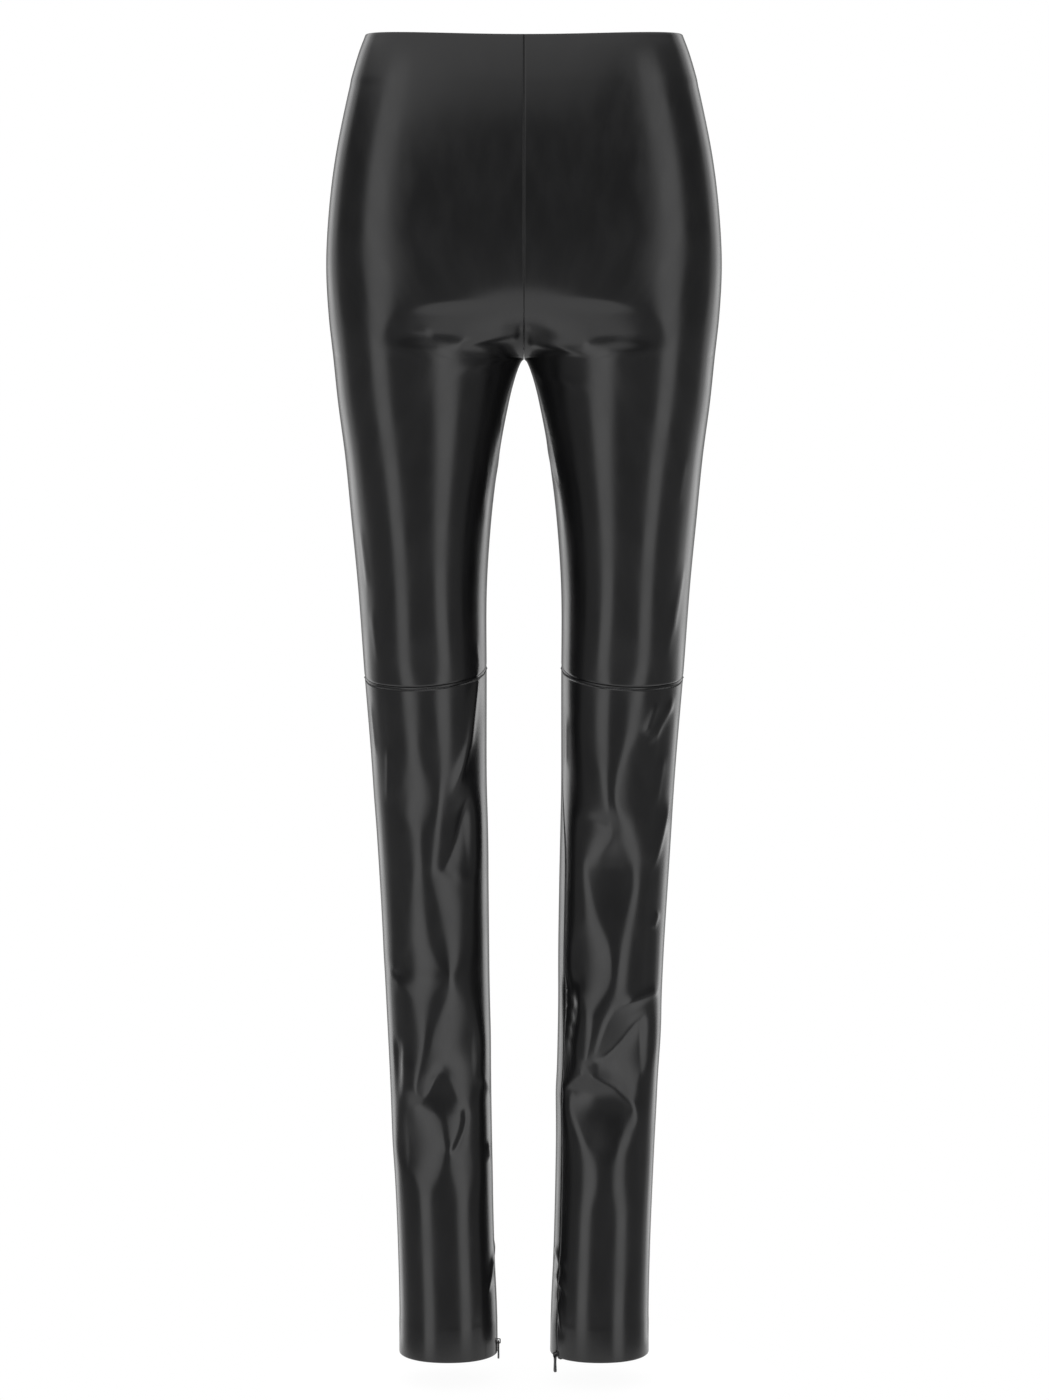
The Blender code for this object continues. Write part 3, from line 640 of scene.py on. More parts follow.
RIGHT_BACK_STRIPS = (
    Strip(19, (
        (545, 86, 96), (590, 84, 92), (625, 76, 100), (655, 84, 92), (705, 87, 93), (745, 80, 92),
        (775, 70, 100), (805, 83, 93), (850, 86, 91), (890, 80, 94), (920, 66, 100), (945, 76, 91),
        (985, 79, 89),
    )),
    Strip(-19, (
        (545, 60, 71), (600, 64, 70), (640, 65, 70), (682, 48, 77), (712, 60, 70), (760, 58, 64),
        (800, 60, 66), (832, 46, 76), (862, 58, 68), (905, 55, 61), (950, 53, 62), (985, 53, 63),
    )),
)
LEFT_BACK_STRIPS = (
    Strip(19, (
        (545, 88, 98), (580, 82, 90), (615, 77, 81), (652, 72, 100), (678, 87, 95), (720, 83, 89),
        (762, 75, 82), (800, 82, 90), (836, 70, 99), (864, 80, 88), (905, 82, 88), (942, 74, 93),
        (985, 77, 87),
    )),
    Strip(-19, (
        (545, 60, 70), (590, 62, 70), (628, 66, 71), (690, 56, 64), (736, 45, 75), (766, 57, 66),
        (802, 60, 68), (850, 56, 63), (886, 44, 72), (914, 56, 65), (950, 54, 62), (985, 54, 63),
    )),
)
RIGHT_CREASES = (
    Crease(((3, 247), (35, 251), (66, 256)), 1.3, 2.5, 3.5, (0.1, 0.5)),
    Crease(((74, 246), (91, 245)), 0.6, 2.5, 3),
    Crease(((8, 265), (32, 271), (61, 279)), 1.3, 3, 3, (0.1, 0.6)),
    Crease(((20, 307), (24, 370)), 0.6, 3, 4),
    Crease(((28, 331), (36, 399)), 0.6, 3, 4),
    Crease(((136, 400), (129, 460)), 0.6, 3, 3),
    Crease(((127, 470), (121, 520)), 0.5, 3, 2.5),
    Crease(((41, 500), (37, 526)), 0.5, 2.5, 3),
    Crease(((129, 548), (124, 600)), 0.6, 3, 3),
    Crease(((114, 583), (114, 642)), 1.0, 3, 3),
    Crease(((39, 870), (29, 885)), 1.0, 4, 4),
    Crease(((31, 926), (29, 945)), 1.0, 4, 4),
    Crease(((39, 523), (46, 583), (60, 634)), 2.2, 5, 3.5, (0.1, 0.3)),
    Crease(((26, 1030), (33, 1060)), 1.1, 2.5, 2.5, (0.1, 0.5)),
    Crease(((24, 1018), (31, 1040)), 0.9, 2.5, 2.5, (0.1, 0.5)),
    Crease(((6, 262), (30, 271), (62, 288)), -0.9, 6, 5, (0.1, 0.6), Face.BACK),
    Crease(((12, 283), (36, 292), (70, 299)), 0.7, 5, 4, (0.2, 0.6), Face.BACK),
    Crease(((38, 505), (72, 512), (108, 503)), -0.8, 5, 5, (0.4, 0.4), Face.BACK),
    Crease(((35, 560), (60, 551), (92, 556)), 0.8, 5, 5, (0.3, 0.5), Face.BACK),
)
LEFT_CREASES = (
    Crease(((2, 252), (30, 257), (62, 266)), 1.4, 2.5, 3.5, (0.1, 0.5)),
    Crease(((11, 279), (30, 284), (56, 293)), 1.0, 3, 3, (0.1, 0.6)),
    Crease(((17, 331), (30, 378)), 0.6, 3, 4),
    Crease(((24, 338), (31, 372)), 0.5, 2.5, 3),
    Crease(((132, 345), (125, 392)), 0.6, 3, 3),
    Crease(((134, 430), (121, 505)), 0.7, 4, 3),
    Crease(((126, 462), (117, 520)), 0.5, 3, 3),
    Crease(((36, 560), (36, 612)), 0.5, 3, 3),
    Crease(((127, 545), (105, 588)), 1.5, 3.5, 3.5),
    Crease(((113, 549), (101, 580)), 1.0, 3, 3),
    Crease(((119, 593), (111, 644)), 1.2, 4, 4),
    Crease(((124, 629), (105, 701)), 1.8, 5, 4),
    Crease(((114, 728), (109, 745)), 1.0, 3, 3),
    Crease(((76, 808), (116, 795)), 1.6, 4, 4),
    Crease(((52, 866), (31, 884)), 0.7, 3, 3, (0.1, 0.3)),
    Crease(((54, 867), (78, 879), (94, 894), (95, 906)), 0.7, 3, 3, (0.1, 0.3)),
    Crease(((34, 797), (46, 802)), 0.5, 3, 3),
    Crease(((34, 811), (45, 814)), 0.5, 3, 3),
    Crease(((33.5, 823), (44, 827)), 0.5, 3, 3),
    Crease(((33, 837), (43, 839)), 0.4, 3, 3),
    Crease(((26, 1020), (38, 1037)), 1.1, 2.5, 2.5, (0.1, 0.5)),
    Crease(((27, 1040), (38, 1057)), 1.2, 2.5, 2.5, (0.1, 0.5)),
    Crease(((29, 1062), (33, 1092)), 0.9, 2, 2.5, (0.1, 0.4)),
    Crease(((6, 258), (34, 270), (66, 282)), -0.9, 5, 6, (0.1, 0.6), Face.BACK),
    Crease(((10, 286), (40, 296), (76, 307)), 0.7, 5, 4, (0.2, 0.6), Face.BACK),
    Crease(((40, 498), (76, 507), (112, 500)), -0.8, 5, 5, (0.4, 0.4), Face.BACK),
    Crease(((36, 566), (64, 557), (90, 563)), 0.8, 5, 5, (0.3, 0.5), Face.BACK),
)


@dataclass
class Relief:
    """All folds of one side of the garment.

    A crease falls off with the power crease_power, and isn't worked out more than crease_reaches
    times its width above or below it. crest rounds its top, and facet_edge a flat patch's border.
    A patch fades out to facet_end times its half width and half height, over the shares
    facet_fades of them. Where cloth faces it less than by facing_least, that is taken instead.
    """

    form: Form
    buckling: Buckling
    creases: tuple[Crease, ...]
    facets: tuple[Facet, ...]
    crease_power: float = 1.3
    crease_reaches: float = 3.0
    crest: float = 1.2 * MM
    facet_edge: float = 0.35 * MM
    facet_end: float = 1.4
    facet_fades: tuple[float, float] = (1.2, 0.8)
    facing_least: float = 0.2

    def offsets(
        self, around: np.ndarray, depth: np.ndarray, across: float, at: float, face: Face
    ) -> tuple[np.ndarray, np.ndarray]:
        """Measures how far points lie from one place, along the cloth.

        Args:
            around: Where the points lie around the sections.
            depth: Their depths.
            across: The place's distance from the centre plane.
            at: Its depth.
            face: Whether it lies in front or behind.

        Returns:
            The distances outwards and down.
        """
        middle = self.form.around_at(across, at, face)
        # A leg is cut open along the middle of its other face, so that folds can cross the inseam.
        lap = 1 - face.value / 2
        wrapped = (around + lap) % 2 - lap
        away = np.where(depth > self.form.crotch, wrapped, around) - middle
        return away / self.form.metre(depth), depth - at

    def crease_rise(self, crease: Crease, around: np.ndarray, depth: np.ndarray) -> np.ndarray:
        """Tells how far one crease moves the cloth.

        Args:
            crease: The crease.
            around: Where the points lie around the sections.
            depth: Their depths.

        Returns:
            The height of the crease at each point.
        """
        path = np.array(crease.path) * MM
        reach = self.crease_reaches * max(crease.inner_width, crease.outer_width) * MM
        near = (depth > path[:, 1].min() - reach) & (depth < path[:, 1].max() + reach)
        result = np.zeros(np.shape(around))
        if not near.any():
            return result
        around, depth = around[near], depth[near]
        legs = np.linalg.norm(np.diff(path, axis=0), axis=1)
        starts = np.concatenate([[0.0], np.cumsum(legs)])
        nearest = np.full(np.shape(around), np.inf)
        signed = np.zeros_like(nearest)
        travelled = np.zeros_like(nearest)
        for i in range(len(path) - 1):
            out_a, down_a = self.offsets(around, depth, *path[i], crease.face)
            out_b, down_b = self.offsets(around, depth, *path[i + 1], crease.face)
            run_out, run_down = out_a - out_b, down_a - down_b
            square = run_out**2 + run_down**2
            share = np.clip((out_a * run_out + down_a * run_down) / square, 0.0, 1.0)
            off_out, off_down = out_a - share * run_out, down_a - share * run_down
            gap = np.hypot(off_out, off_down)
            closer = gap < nearest
            nearest = np.where(closer, gap, nearest)
            side = np.sign(run_out * off_down - run_down * off_out)
            signed = np.where(closer, side * gap, signed)
            travelled = np.where(closer, starts[i] + share * legs[i], travelled)
        share = travelled / starts[-1]
        first, last = crease.fade
        ends = smoothstep(share / first) * smoothstep((1 - share) / last)
        width = np.where(signed > 0, crease.inner_width, crease.outer_width) * MM
        rounded = np.sqrt(nearest**2 + self.crest**2) - self.crest
        fall = np.exp(-((rounded / width) ** self.crease_power))
        result[near] = crease.rise * MM * ends * fall
        return result

    def facet_rise(
        self, facet: Facet, around: np.ndarray, depth: np.ndarray, out: np.ndarray
    ) -> np.ndarray:
        """Tells how far one facet moves the cloth in.

        Args:
            facet: The facet.
            around: Where the points lie around the sections.
            depth: Their depths.
            out: The directions out of the form there.

        Returns:
            The move out at each point, 0 or less.
        """
        across, at = facet.across * MM, facet.depth * MM
        place = np.array([self.form.around_at(across, at, facet.face)])
        level = np.array([at])
        turn, tilt = math.radians(facet.turn), math.radians(facet.tilt)
        flat = np.array([math.sin(turn), facet.face.value * math.cos(turn), math.tan(tilt)])
        flat /= np.linalg.norm(flat)
        middle = self.form.point(place, level)[0]
        middle = middle - facet.push * MM * self.form.normal(place, level)[0]
        facing = np.maximum(out @ flat, self.facing_least)
        reach = -((self.form.point(around, depth) - middle) @ flat) / facing
        inwards = -self.facet_edge * np.logaddexp(0.0, -reach / self.facet_edge)
        halves = (facet.half_width * MM, facet.half_height * MM)
        offsets = self.offsets(around, depth, across, at, facet.face)
        for offset, half, fade in zip(offsets, halves, self.facet_fades):
            inwards = inwards * smoothstep((self.facet_end - np.abs(offset / half)) / fade)
        return inwards

    def rise(self, around: np.ndarray, depth: np.ndarray, out: np.ndarray) -> np.ndarray:
        """Tells how far the folds move the cloth out of the smooth form.

        Args:
            around: Where the points lie around the sections.
            depth: Their depths.
            out: The directions out of the form there.

        Returns:
            The move out at each point.
        """
        flats = np.zeros(np.shape(around))
        for facet in self.facets:
            flats = np.minimum(flats, self.facet_rise(facet, around, depth, out))
        flats = flats + self.form.read(self.buckling.table, around, depth)[..., 0]
        for crease in self.creases:
            flats = flats + self.crease_rise(crease, around, depth)
        return flats


# ---------------------------------------------------------------- the legs


@dataclass(frozen=True)
class Ankle:
    """How a leg's inseam turns to the front, and its hem's corners at the zip.

    The inseam turns by turn degrees between two depths. These and the radius are in millimetres.
    """

    turn: float
    turn_start: float
    turn_end: float
    corner_radius: float


@dataclass
class Half:
    """One side of the garment, with its leg: the cloth's places and the lines it ends at.

    The facing's lower edge shows as a small step in full at the side, and fades from there to
    the share facing_least of it, which is reached at facing_end "around".
    """

    side: Side
    ankle: Ankle
    form: Form
    relief: Relief
    waist_front: float = -4 * MM
    waist_back: float = 8 * MM
    knee: float = 526.7 * MM
    knee_side_dip: float = 3.8 * MM
    knee_front_dip: float = 9.8 * MM
    facing_depth: float = 40 * MM
    facing_relief: float = 0.4 * MM
    facing_least: float = 0.1
    facing_end: float = 0.55
    facing_fade: float = 0.35
    hem_relief: float = 0.14 * MM
    hem_turning: float = 30 * MM
    relief_edge: float = 2.5 * MM

    def waist_depth(self, around: np.ndarray) -> np.ndarray:
        """Gives the depth of the waist edge, which dips at the front and rises behind."""
        rise = np.where(around < 0, self.waist_front, self.waist_back)
        return -rise * np.sin(np.pi * around / 2) ** 2

    def knee_depth(self, around: np.ndarray) -> np.ndarray:
        """Gives the depth of the knee seam."""
        side, front = np.cos(np.pi * around), -np.sin(np.pi * around)
        return self.knee + self.knee_side_dip * side + self.knee_front_dip * front

    def hem_depth(self, around: np.ndarray) -> np.ndarray:
        """Gives the depth of the hem, whose corners at the zip are rounded."""
        radius = self.ankle.corner_radius * MM
        from_seam = (1 - np.abs(around)) / self.form.metre(self.form.hem)
        inside = np.clip(radius - from_seam, 0.0, radius)
        return self.form.hem - radius + np.sqrt(radius**2 - inside**2)

    def thigh_depth(self, around: np.ndarray, row: np.ndarray) -> np.ndarray:
        """Gives depths on a thigh panel, whose rows crowd to the crotch along the seams.

        Args:
            around: Where the points lie between the seams.
            row: 0 is the waist, 1 the facing's edge, 2 the crotch and 3 the knee.

        Returns:
            The depths.
        """
        crowding = np.abs(around) ** 3
        waist = self.waist_depth(around)
        top = waist + self.facing_depth
        rise = np.clip(2 - row, 0.0, 1.0) ** (1 + crowding)
        fall = np.clip(row - 2, 0.0, 1.0) ** (1 + crowding / 2)
        crotch = self.form.crotch
        upper = top + (crotch - top) * (1 - rise)
        lower = crotch + (self.knee_depth(around) - crotch) * fall
        return np.where(row <= 1, waist + self.facing_depth * row, np.where(row <= 2, upper, lower))

    def shin_depth(self, around: np.ndarray, row: np.ndarray) -> np.ndarray:
        """Gives depths on a shin panel, evenly spaced.

        Args:
            around: Where the points lie between the seams.
            row: 0 is the knee and 1 the hem.

        Returns:
            The depths.
        """
        top = self.knee_depth(around)
        return top + (self.hem_depth(around) - top) * row

    def seam_turn(self, depth: np.ndarray) -> np.ndarray:
        """Tells how far the seams have turned towards the front, in "around"."""
        start, end = self.ankle.turn_start * MM, self.ankle.turn_end * MM
        return smoothstep((depth - start) / (end - start)) * self.ankle.turn / 180

    def pressed(self, around: np.ndarray, depth: np.ndarray) -> np.ndarray:
        """Tells how far the facing and the hem's turning press the cloth out.

        Args:
            around: Where the points lie between the seams.
            depth: Their depths.

        Returns:
            The move out at each point.
        """
        from_facing = self.waist_depth(around) + self.facing_depth - depth
        from_turning = depth - (self.form.hem - self.hem_turning)
        shown = smoothstep((self.facing_end - np.abs(around)) / self.facing_fade)
        shown = self.facing_least + (1 - self.facing_least) * shown
        facing = self.facing_relief * shown * smoothstep(0.5 + from_facing / self.relief_edge / 2)
        return facing + self.hem_relief * smoothstep(0.5 + from_turning / self.relief_edge / 2)

    def cloth(self, around: np.ndarray, depth: np.ndarray, inset: Any) -> np.ndarray:
        """Gives points of the cloth.

        Args:
            around: Where they lie between the seams.
            depth: Their depths.
            inset: How far inside the outer face they lie, a number or an array.

        Returns:
            Their places in the garment's own axes.
        """
        place = around + self.seam_turn(depth)
        out = self.form.normal(place, depth)
        rise = self.relief.rise(place, depth, out) + self.pressed(around, depth) - inset
        points = self.form.point(place, depth) + out * rise[..., None]
        points[..., 0] = self.side.value * np.maximum(points[..., 0], 0.0)
        return points


# ---------------------------------------------------------------- meshes


def new_object(name: str, data: bpy.types.ID) -> bpy.types.Object:
    """Adds an object of some data to the scene."""
    made = bpy.data.objects.new(name, data)
    bpy.context.collection.objects.link(made)
    return made


def new_piece(name: str, bm: bmesh.types.BMesh, smooth: bool = True) -> bpy.types.Object:
    """Makes an object of a bmesh, and frees the bmesh."""
    mesh = bpy.data.meshes.new(name)
    bm.to_mesh(mesh)
    bm.free()
    if smooth:
        mesh.shade_smooth()
    return new_object(name, mesh)


def new_sheet(
    name: str,
    points: np.ndarray,
    cut: Sequence[np.ndarray],
    reverse: bool,
    closed: bool = False,
    backed: bool = False,
    thickness: float = 0.7 * MM,
    join: float = 0.02 * MM,
) -> bpy.types.Object:
    """Makes a sheet of cloth of its outer face's points.

    Args:
        name: The sheet's name.
        points: Its places, in rows and columns.
        cut: Their places across and along the flat cut.
        reverse: Whether its faces are turned round, so that they face outwards.
        closed: Whether its first and last columns meet.
        backed: Whether its inner face has the second material.
        thickness: How thick the cloth is, inwards.
        join: How near points lie that meet.

    Returns:
        The sheet's object.
    """
    rows, columns = points.shape[:2]
    bm = bmesh.new()
    bmesh.ops.create_grid(bm, x_segments=columns - 1, y_segments=rows - 1, size=1.0)
    uv = bm.loops.layers.uv.new("cut")
    flat = np.stack(cut, axis=-1).reshape(-1, 2)
    for corner in (corner for face in bm.faces for corner in face.loops):
        corner[uv].uv = flat[corner.vert.index]
    for vert, place in zip(bm.verts, points.reshape(-1, 3)):
        vert.co = place
    if closed:
        bmesh.ops.remove_doubles(bm, verts=bm.verts[:], dist=join)
    if reverse:
        bmesh.ops.reverse_faces(bm, faces=bm.faces[:])
    piece = new_piece(name, bm)
    thicken = piece.modifiers.new("thickness", "SOLIDIFY")
    thicken.thickness = thickness
    thicken.offset = -1
    thicken.material_offset = int(backed)
    return piece


# ---------------------------------------------------------------- shader maths


@dataclass(frozen=True)
class Value:
    """A number in a node tree, as the socket that gives it. Sums with it add Math nodes."""

    tree: "Tree"
    socket: bpy.types.NodeSocket

    def _math(self, operation: str, *values: Any) -> "Value":
        """Adds a Math node on the given values."""
        made = self.tree.node("ShaderNodeMath", {"operation": operation}, dict(enumerate(values)))
        return Value(self.tree, made.outputs[0])

    def __add__(self, other: Any) -> "Value":
        """Adds."""
        return self._math("ADD", self, other)

    def __sub__(self, other: Any) -> "Value":
        """Subtracts."""
        return self._math("SUBTRACT", self, other)

    def __rsub__(self, other: Any) -> "Value":
        """Subtracts this from a number."""
        return self._math("SUBTRACT", other, self)

    def __mul__(self, other: Any) -> "Value":
        """Multiplies."""
        return self._math("MULTIPLY", self, other)

    __radd__ = __add__
    __rmul__ = __mul__

    def absolute(self) -> "Value":
        """Gives the size of the number without its sign."""
        return self._math("ABSOLUTE", self)

    def root(self) -> "Value":
        """Gives the number's square root."""
        return self._math("SQRT", self)

    def wave(self) -> "Value":
        """Gives the number's sine."""
        return self._math("SINE", self)

    def ripple(self) -> "Value":
        """Gives a wave between 0 and 1."""
        return self.wave() * 0.5 + 0.5

    def angle(self, other: "Value") -> "Value":
        """Gives the angle whose tangent is this number over another, in degrees."""
        return self._math("ARCTAN2", self, other) * (180 / math.pi)

    def greatest(self, other: "Value") -> "Value":
        """Gives the greater of two numbers."""
        return self._math("MAXIMUM", self, other)

    def step(self, start: float, end: float, low: float, high: float) -> "Value":
        """Passes smoothly from one number to another.

        Args:
            start: Where the passage starts.
            end: Where it ends.
            low: The number before it.
            high: The number after it.

        Returns:
            The passage.
        """
        made = self.tree.node(
            "ShaderNodeMapRange",
            {"interpolation_type": "SMOOTHSTEP"},
            {"Value": self, "From Min": start, "From Max": end, "To Min": low, "To Max": high},
        )
        return Value(self.tree, made.outputs[0])


class Tree:
    """The nodes of a material or of the world while they are made."""

    def __init__(self, owner: bpy.types.Material | bpy.types.World) -> None:
        """Starts an empty tree."""
        owner.use_nodes = True
        self.tree = owner.node_tree
        self.tree.nodes.clear()

    def node(
        self,
        kind: str,
        settings: dict[str, Any] | None = None,
        inputs: dict[str | int, Any] | None = None,
    ) -> bpy.types.Node:
        """Adds a node.

        Args:
            kind: The node's type.
            settings: Its settings, which are set first.
            inputs: A number, vector, Value or socket for each of its sockets.

        Returns:
            The node.
        """
        made = self.tree.nodes.new(kind)
        for name, value in (settings or {}).items():
            setattr(made, name, value)
        for name, value in (inputs or {}).items():
            if isinstance(value, Value):
                value = value.socket
            if isinstance(value, bpy.types.NodeSocket):
                self.tree.links.new(value, made.inputs[name])
            else:
                made.inputs[name].default_value = value
        return made

    def cut_places(self) -> bpy.types.NodeSocket:
        """Gives the places in the flat cut, in metres."""
        return self.node("ShaderNodeUVMap", {"uv_map": "cut"}).outputs["UV"]

    def piece_places(self) -> bpy.types.NodeSocket:
        """Gives the places on the piece, in metres."""
        return self.node("ShaderNodeTexCoord").outputs["Object"]

    def parts(self, vector: bpy.types.NodeSocket) -> list[Value]:
        """Gives a vector's three numbers."""
        made = self.node("ShaderNodeSeparateXYZ", {}, {0: vector})
        return [Value(self, socket) for socket in made.outputs]

    def turns(self, width: float, length: float) -> tuple[Value, Value]:
        """Gives the places in the flat cut as angles, with a full turn to each width and length."""
        across, along, _ = self.parts(self.cut_places())
        return across * (2 * math.pi / width), along * (2 * math.pi / length)

    def noise(self, vector: bpy.types.NodeSocket, sizes: Sequence[float], detail: float) -> Value:
        """Gives soft noise.

        Args:
            vector: The places.
            sizes: How large a blotch is on each axis.
            detail: How many finer layers it has.

        Returns:
            The noise, from 0 to 1.
        """
        factors = [1 / size for size in sizes]
        made = self.node("ShaderNodeVectorMath", {"operation": "MULTIPLY"}, {0: vector, 1: factors})
        inputs = {"Vector": made.outputs[0], "Scale": 1.0, "Detail": detail}
        return Value(self, self.node("ShaderNodeTexNoise", {}, inputs).outputs["Fac"])

    def shade(self, factor: Value, low: Sequence[float], high: Sequence[float]) -> Any:
        """Mixes two colours."""
        inputs = {0: factor, 6: (*low, 1.0), 7: (*high, 1.0)}
        return self.node("ShaderNodeMix", {"data_type": "RGBA"}, inputs).outputs[2]

    def blend(self, factor: Any, first: bpy.types.Node, second: bpy.types.Node) -> bpy.types.Node:
        """Mixes two shaders."""
        inputs = {0: factor, 1: first.outputs[0], 2: second.outputs[0]}
        return self.node("ShaderNodeMixShader", {}, inputs)

    def bump(self, height: Value, distance: float) -> Any:
        """Raises a height by a distance in metres, as a normal."""
        return self.node("ShaderNodeBump", {}, {"Height": height, "Distance": distance}).outputs[0]


# ---------------------------------------------------------------- finishes

NOISE_MIDDLE = (0.3, 0.7)


@dataclass(frozen=True)
class Finish:
    """A finish of a piece: one Principled shader, whose colour passes from dark to light."""

    name: str
    dark: tuple[float, float, float]
    light: tuple[float, float, float]

    def inputs(self, tree: Tree) -> dict[str, Any]:
        """Gives the values or links of the shader's sockets."""
        raise NotImplementedError

    def material(self) -> bpy.types.Material:
        """Makes the material, or gives the one made before."""
        made = bpy.data.materials.get(self.name)
        if made is None:
            made = bpy.data.materials.new(self.name)
            tree = Tree(made)
            shader = tree.node("ShaderNodeBsdfPrincipled", {}, self.inputs(tree))
            tree.node("ShaderNodeOutputMaterial", {}, {0: shader.outputs[0]})
        return made


@dataclass(frozen=True)
class FauxLeather(Finish):
    """The leggings' right side: stretch cloth with a smooth black coating, semi-gloss."""

    name: str = "black_faux_leather"
    dark: tuple[float, float, float] = (0.0050, 0.0050, 0.0054)
    light: tuple[float, float, float] = (0.0085, 0.0085, 0.0090)
    roughness: tuple[float, float] = (0.19, 0.27)
    grain: float = 0.35 * MM
    grain_length: float = 1.4 * MM
    grain_height: float = 0.010 * MM
    pebble: float = 0.9 * MM
    pebble_height: float = 0.018 * MM
    cloud: tuple[float, float] = (20 * MM, 50 * MM)

    def inputs(self, tree: Tree) -> dict[str, Any]:
        """Gives the values or links of the shader's sockets."""
        places = tree.cut_places()
        fine = tree.noise(places, (self.grain, self.grain_length, 1.0), 2.0)
        pebbles = tree.noise(places, (self.pebble, self.pebble, 1.0), 2.0)
        cloudy = tree.noise(places, (*self.cloud, 1.0), 3.0)
        height = fine * (self.grain_height / self.pebble_height) + pebbles
        return {
            "Base Color": tree.shade(cloudy, self.dark, self.light),
            "Roughness": cloudy.step(*NOISE_MIDDLE, *self.roughness),
            "Normal": tree.bump(height, self.pebble_height),
        }


@dataclass(frozen=True)
class KnitBack(Finish):
    """The wrong side of the coated cloth, and the facing: a fine matt black knit."""

    name: str = "black_knit_back"
    dark: tuple[float, float, float] = (0.006, 0.006, 0.007)
    light: tuple[float, float, float] = (0.016, 0.016, 0.017)
    roughness: float = 0.85
    sheen: float = 0.15
    wale: float = 0.9 * MM
    course: float = 0.7 * MM
    height: float = 0.15 * MM

    def inputs(self, tree: Tree) -> dict[str, Any]:
        """Gives the values or links of the shader's sockets."""
        across, along = tree.turns(self.wale, self.course)
        loops = across.ripple() * (along + across * 0.5).ripple()
        return {
            "Base Color": tree.shade(loops, self.dark, self.light),
            "Roughness": self.roughness,
            "Normal": tree.bump(loops, self.height),
            "Sheen Weight": self.sheen,
        }


@dataclass(frozen=True)
class WovenTape(Finish):
    """The zips' tape: a matt black herringbone weave."""

    name: str = "black_zip_tape"
    dark: tuple[float, float, float] = (0.005, 0.005, 0.005)
    light: tuple[float, float, float] = (0.014, 0.014, 0.014)
    roughness: float = 0.8
    thread: float = 0.6 * MM
    height: float = 0.12 * MM

    def inputs(self, tree: Tree) -> dict[str, Any]:
        """Gives the values or links of the shader's sockets."""
        across, along = tree.turns(self.thread, self.thread)
        twill = (across.absolute() + along).ripple()
        return {
            "Base Color": tree.shade(twill, self.dark, self.light),
            "Roughness": self.roughness,
            "Normal": tree.bump(twill, self.height),
        }


@dataclass(frozen=True)
class EnamelledMetal(Finish):
    """The zips' sliders and tabs: cast metal under satin black enamel."""

    name: str = "black_zip_metal"
    dark: tuple[float, float, float] = (0.012, 0.012, 0.013)
    light: tuple[float, float, float] = (0.035, 0.035, 0.036)
    roughness: tuple[float, float] = (0.22, 0.38)
    metallic: float = 0.6
    blotch: float = 1.5 * MM
    height: float = 0.01 * MM

    def inputs(self, tree: Tree) -> dict[str, Any]:
        """Gives the values or links of the shader's sockets."""
        cast = tree.noise(tree.piece_places(), (self.blotch,) * 3, 3.0)
        return {
            "Base Color": tree.shade(cast, self.dark, self.light),
            "Roughness": cast.step(*NOISE_MIDDLE, *self.roughness),
            "Metallic": self.metallic,
            "Normal": tree.bump(cast, self.height),
        }


@dataclass(frozen=True)
class Thread(Finish):
    """Black polyester sewing thread, faintly shiny."""

    name: str = "black_thread"
    dark: tuple[float, float, float] = (0.008, 0.008, 0.008)
    light: tuple[float, float, float] = (0.022, 0.022, 0.022)
    roughness: float = 0.5
    ply: float = 0.5 * MM

    def inputs(self, tree: Tree) -> dict[str, Any]:
        """Gives the values or links of the shader's sockets."""
        plies = tree.noise(tree.piece_places(), (self.ply,) * 3, 2.0)
        return {"Base Color": tree.shade(plies, self.dark, self.light), "Roughness": self.roughness}


def dress(piece: bpy.types.Object, body: str, slot: str, *finishes: Finish) -> None:
    """Gives a piece its finishes, and says which body it rides on."""
    for finish in finishes:
        piece.data.materials.append(finish.material())
    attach(piece, body)
    log.info("%s: %d faces", piece.name, len(piece.data.polygons))


# ---------------------------------------------------------------- the studio

WHITE = (1.0, 1.0, 1.0, 1.0)
Passage = tuple[float, float, float, float]


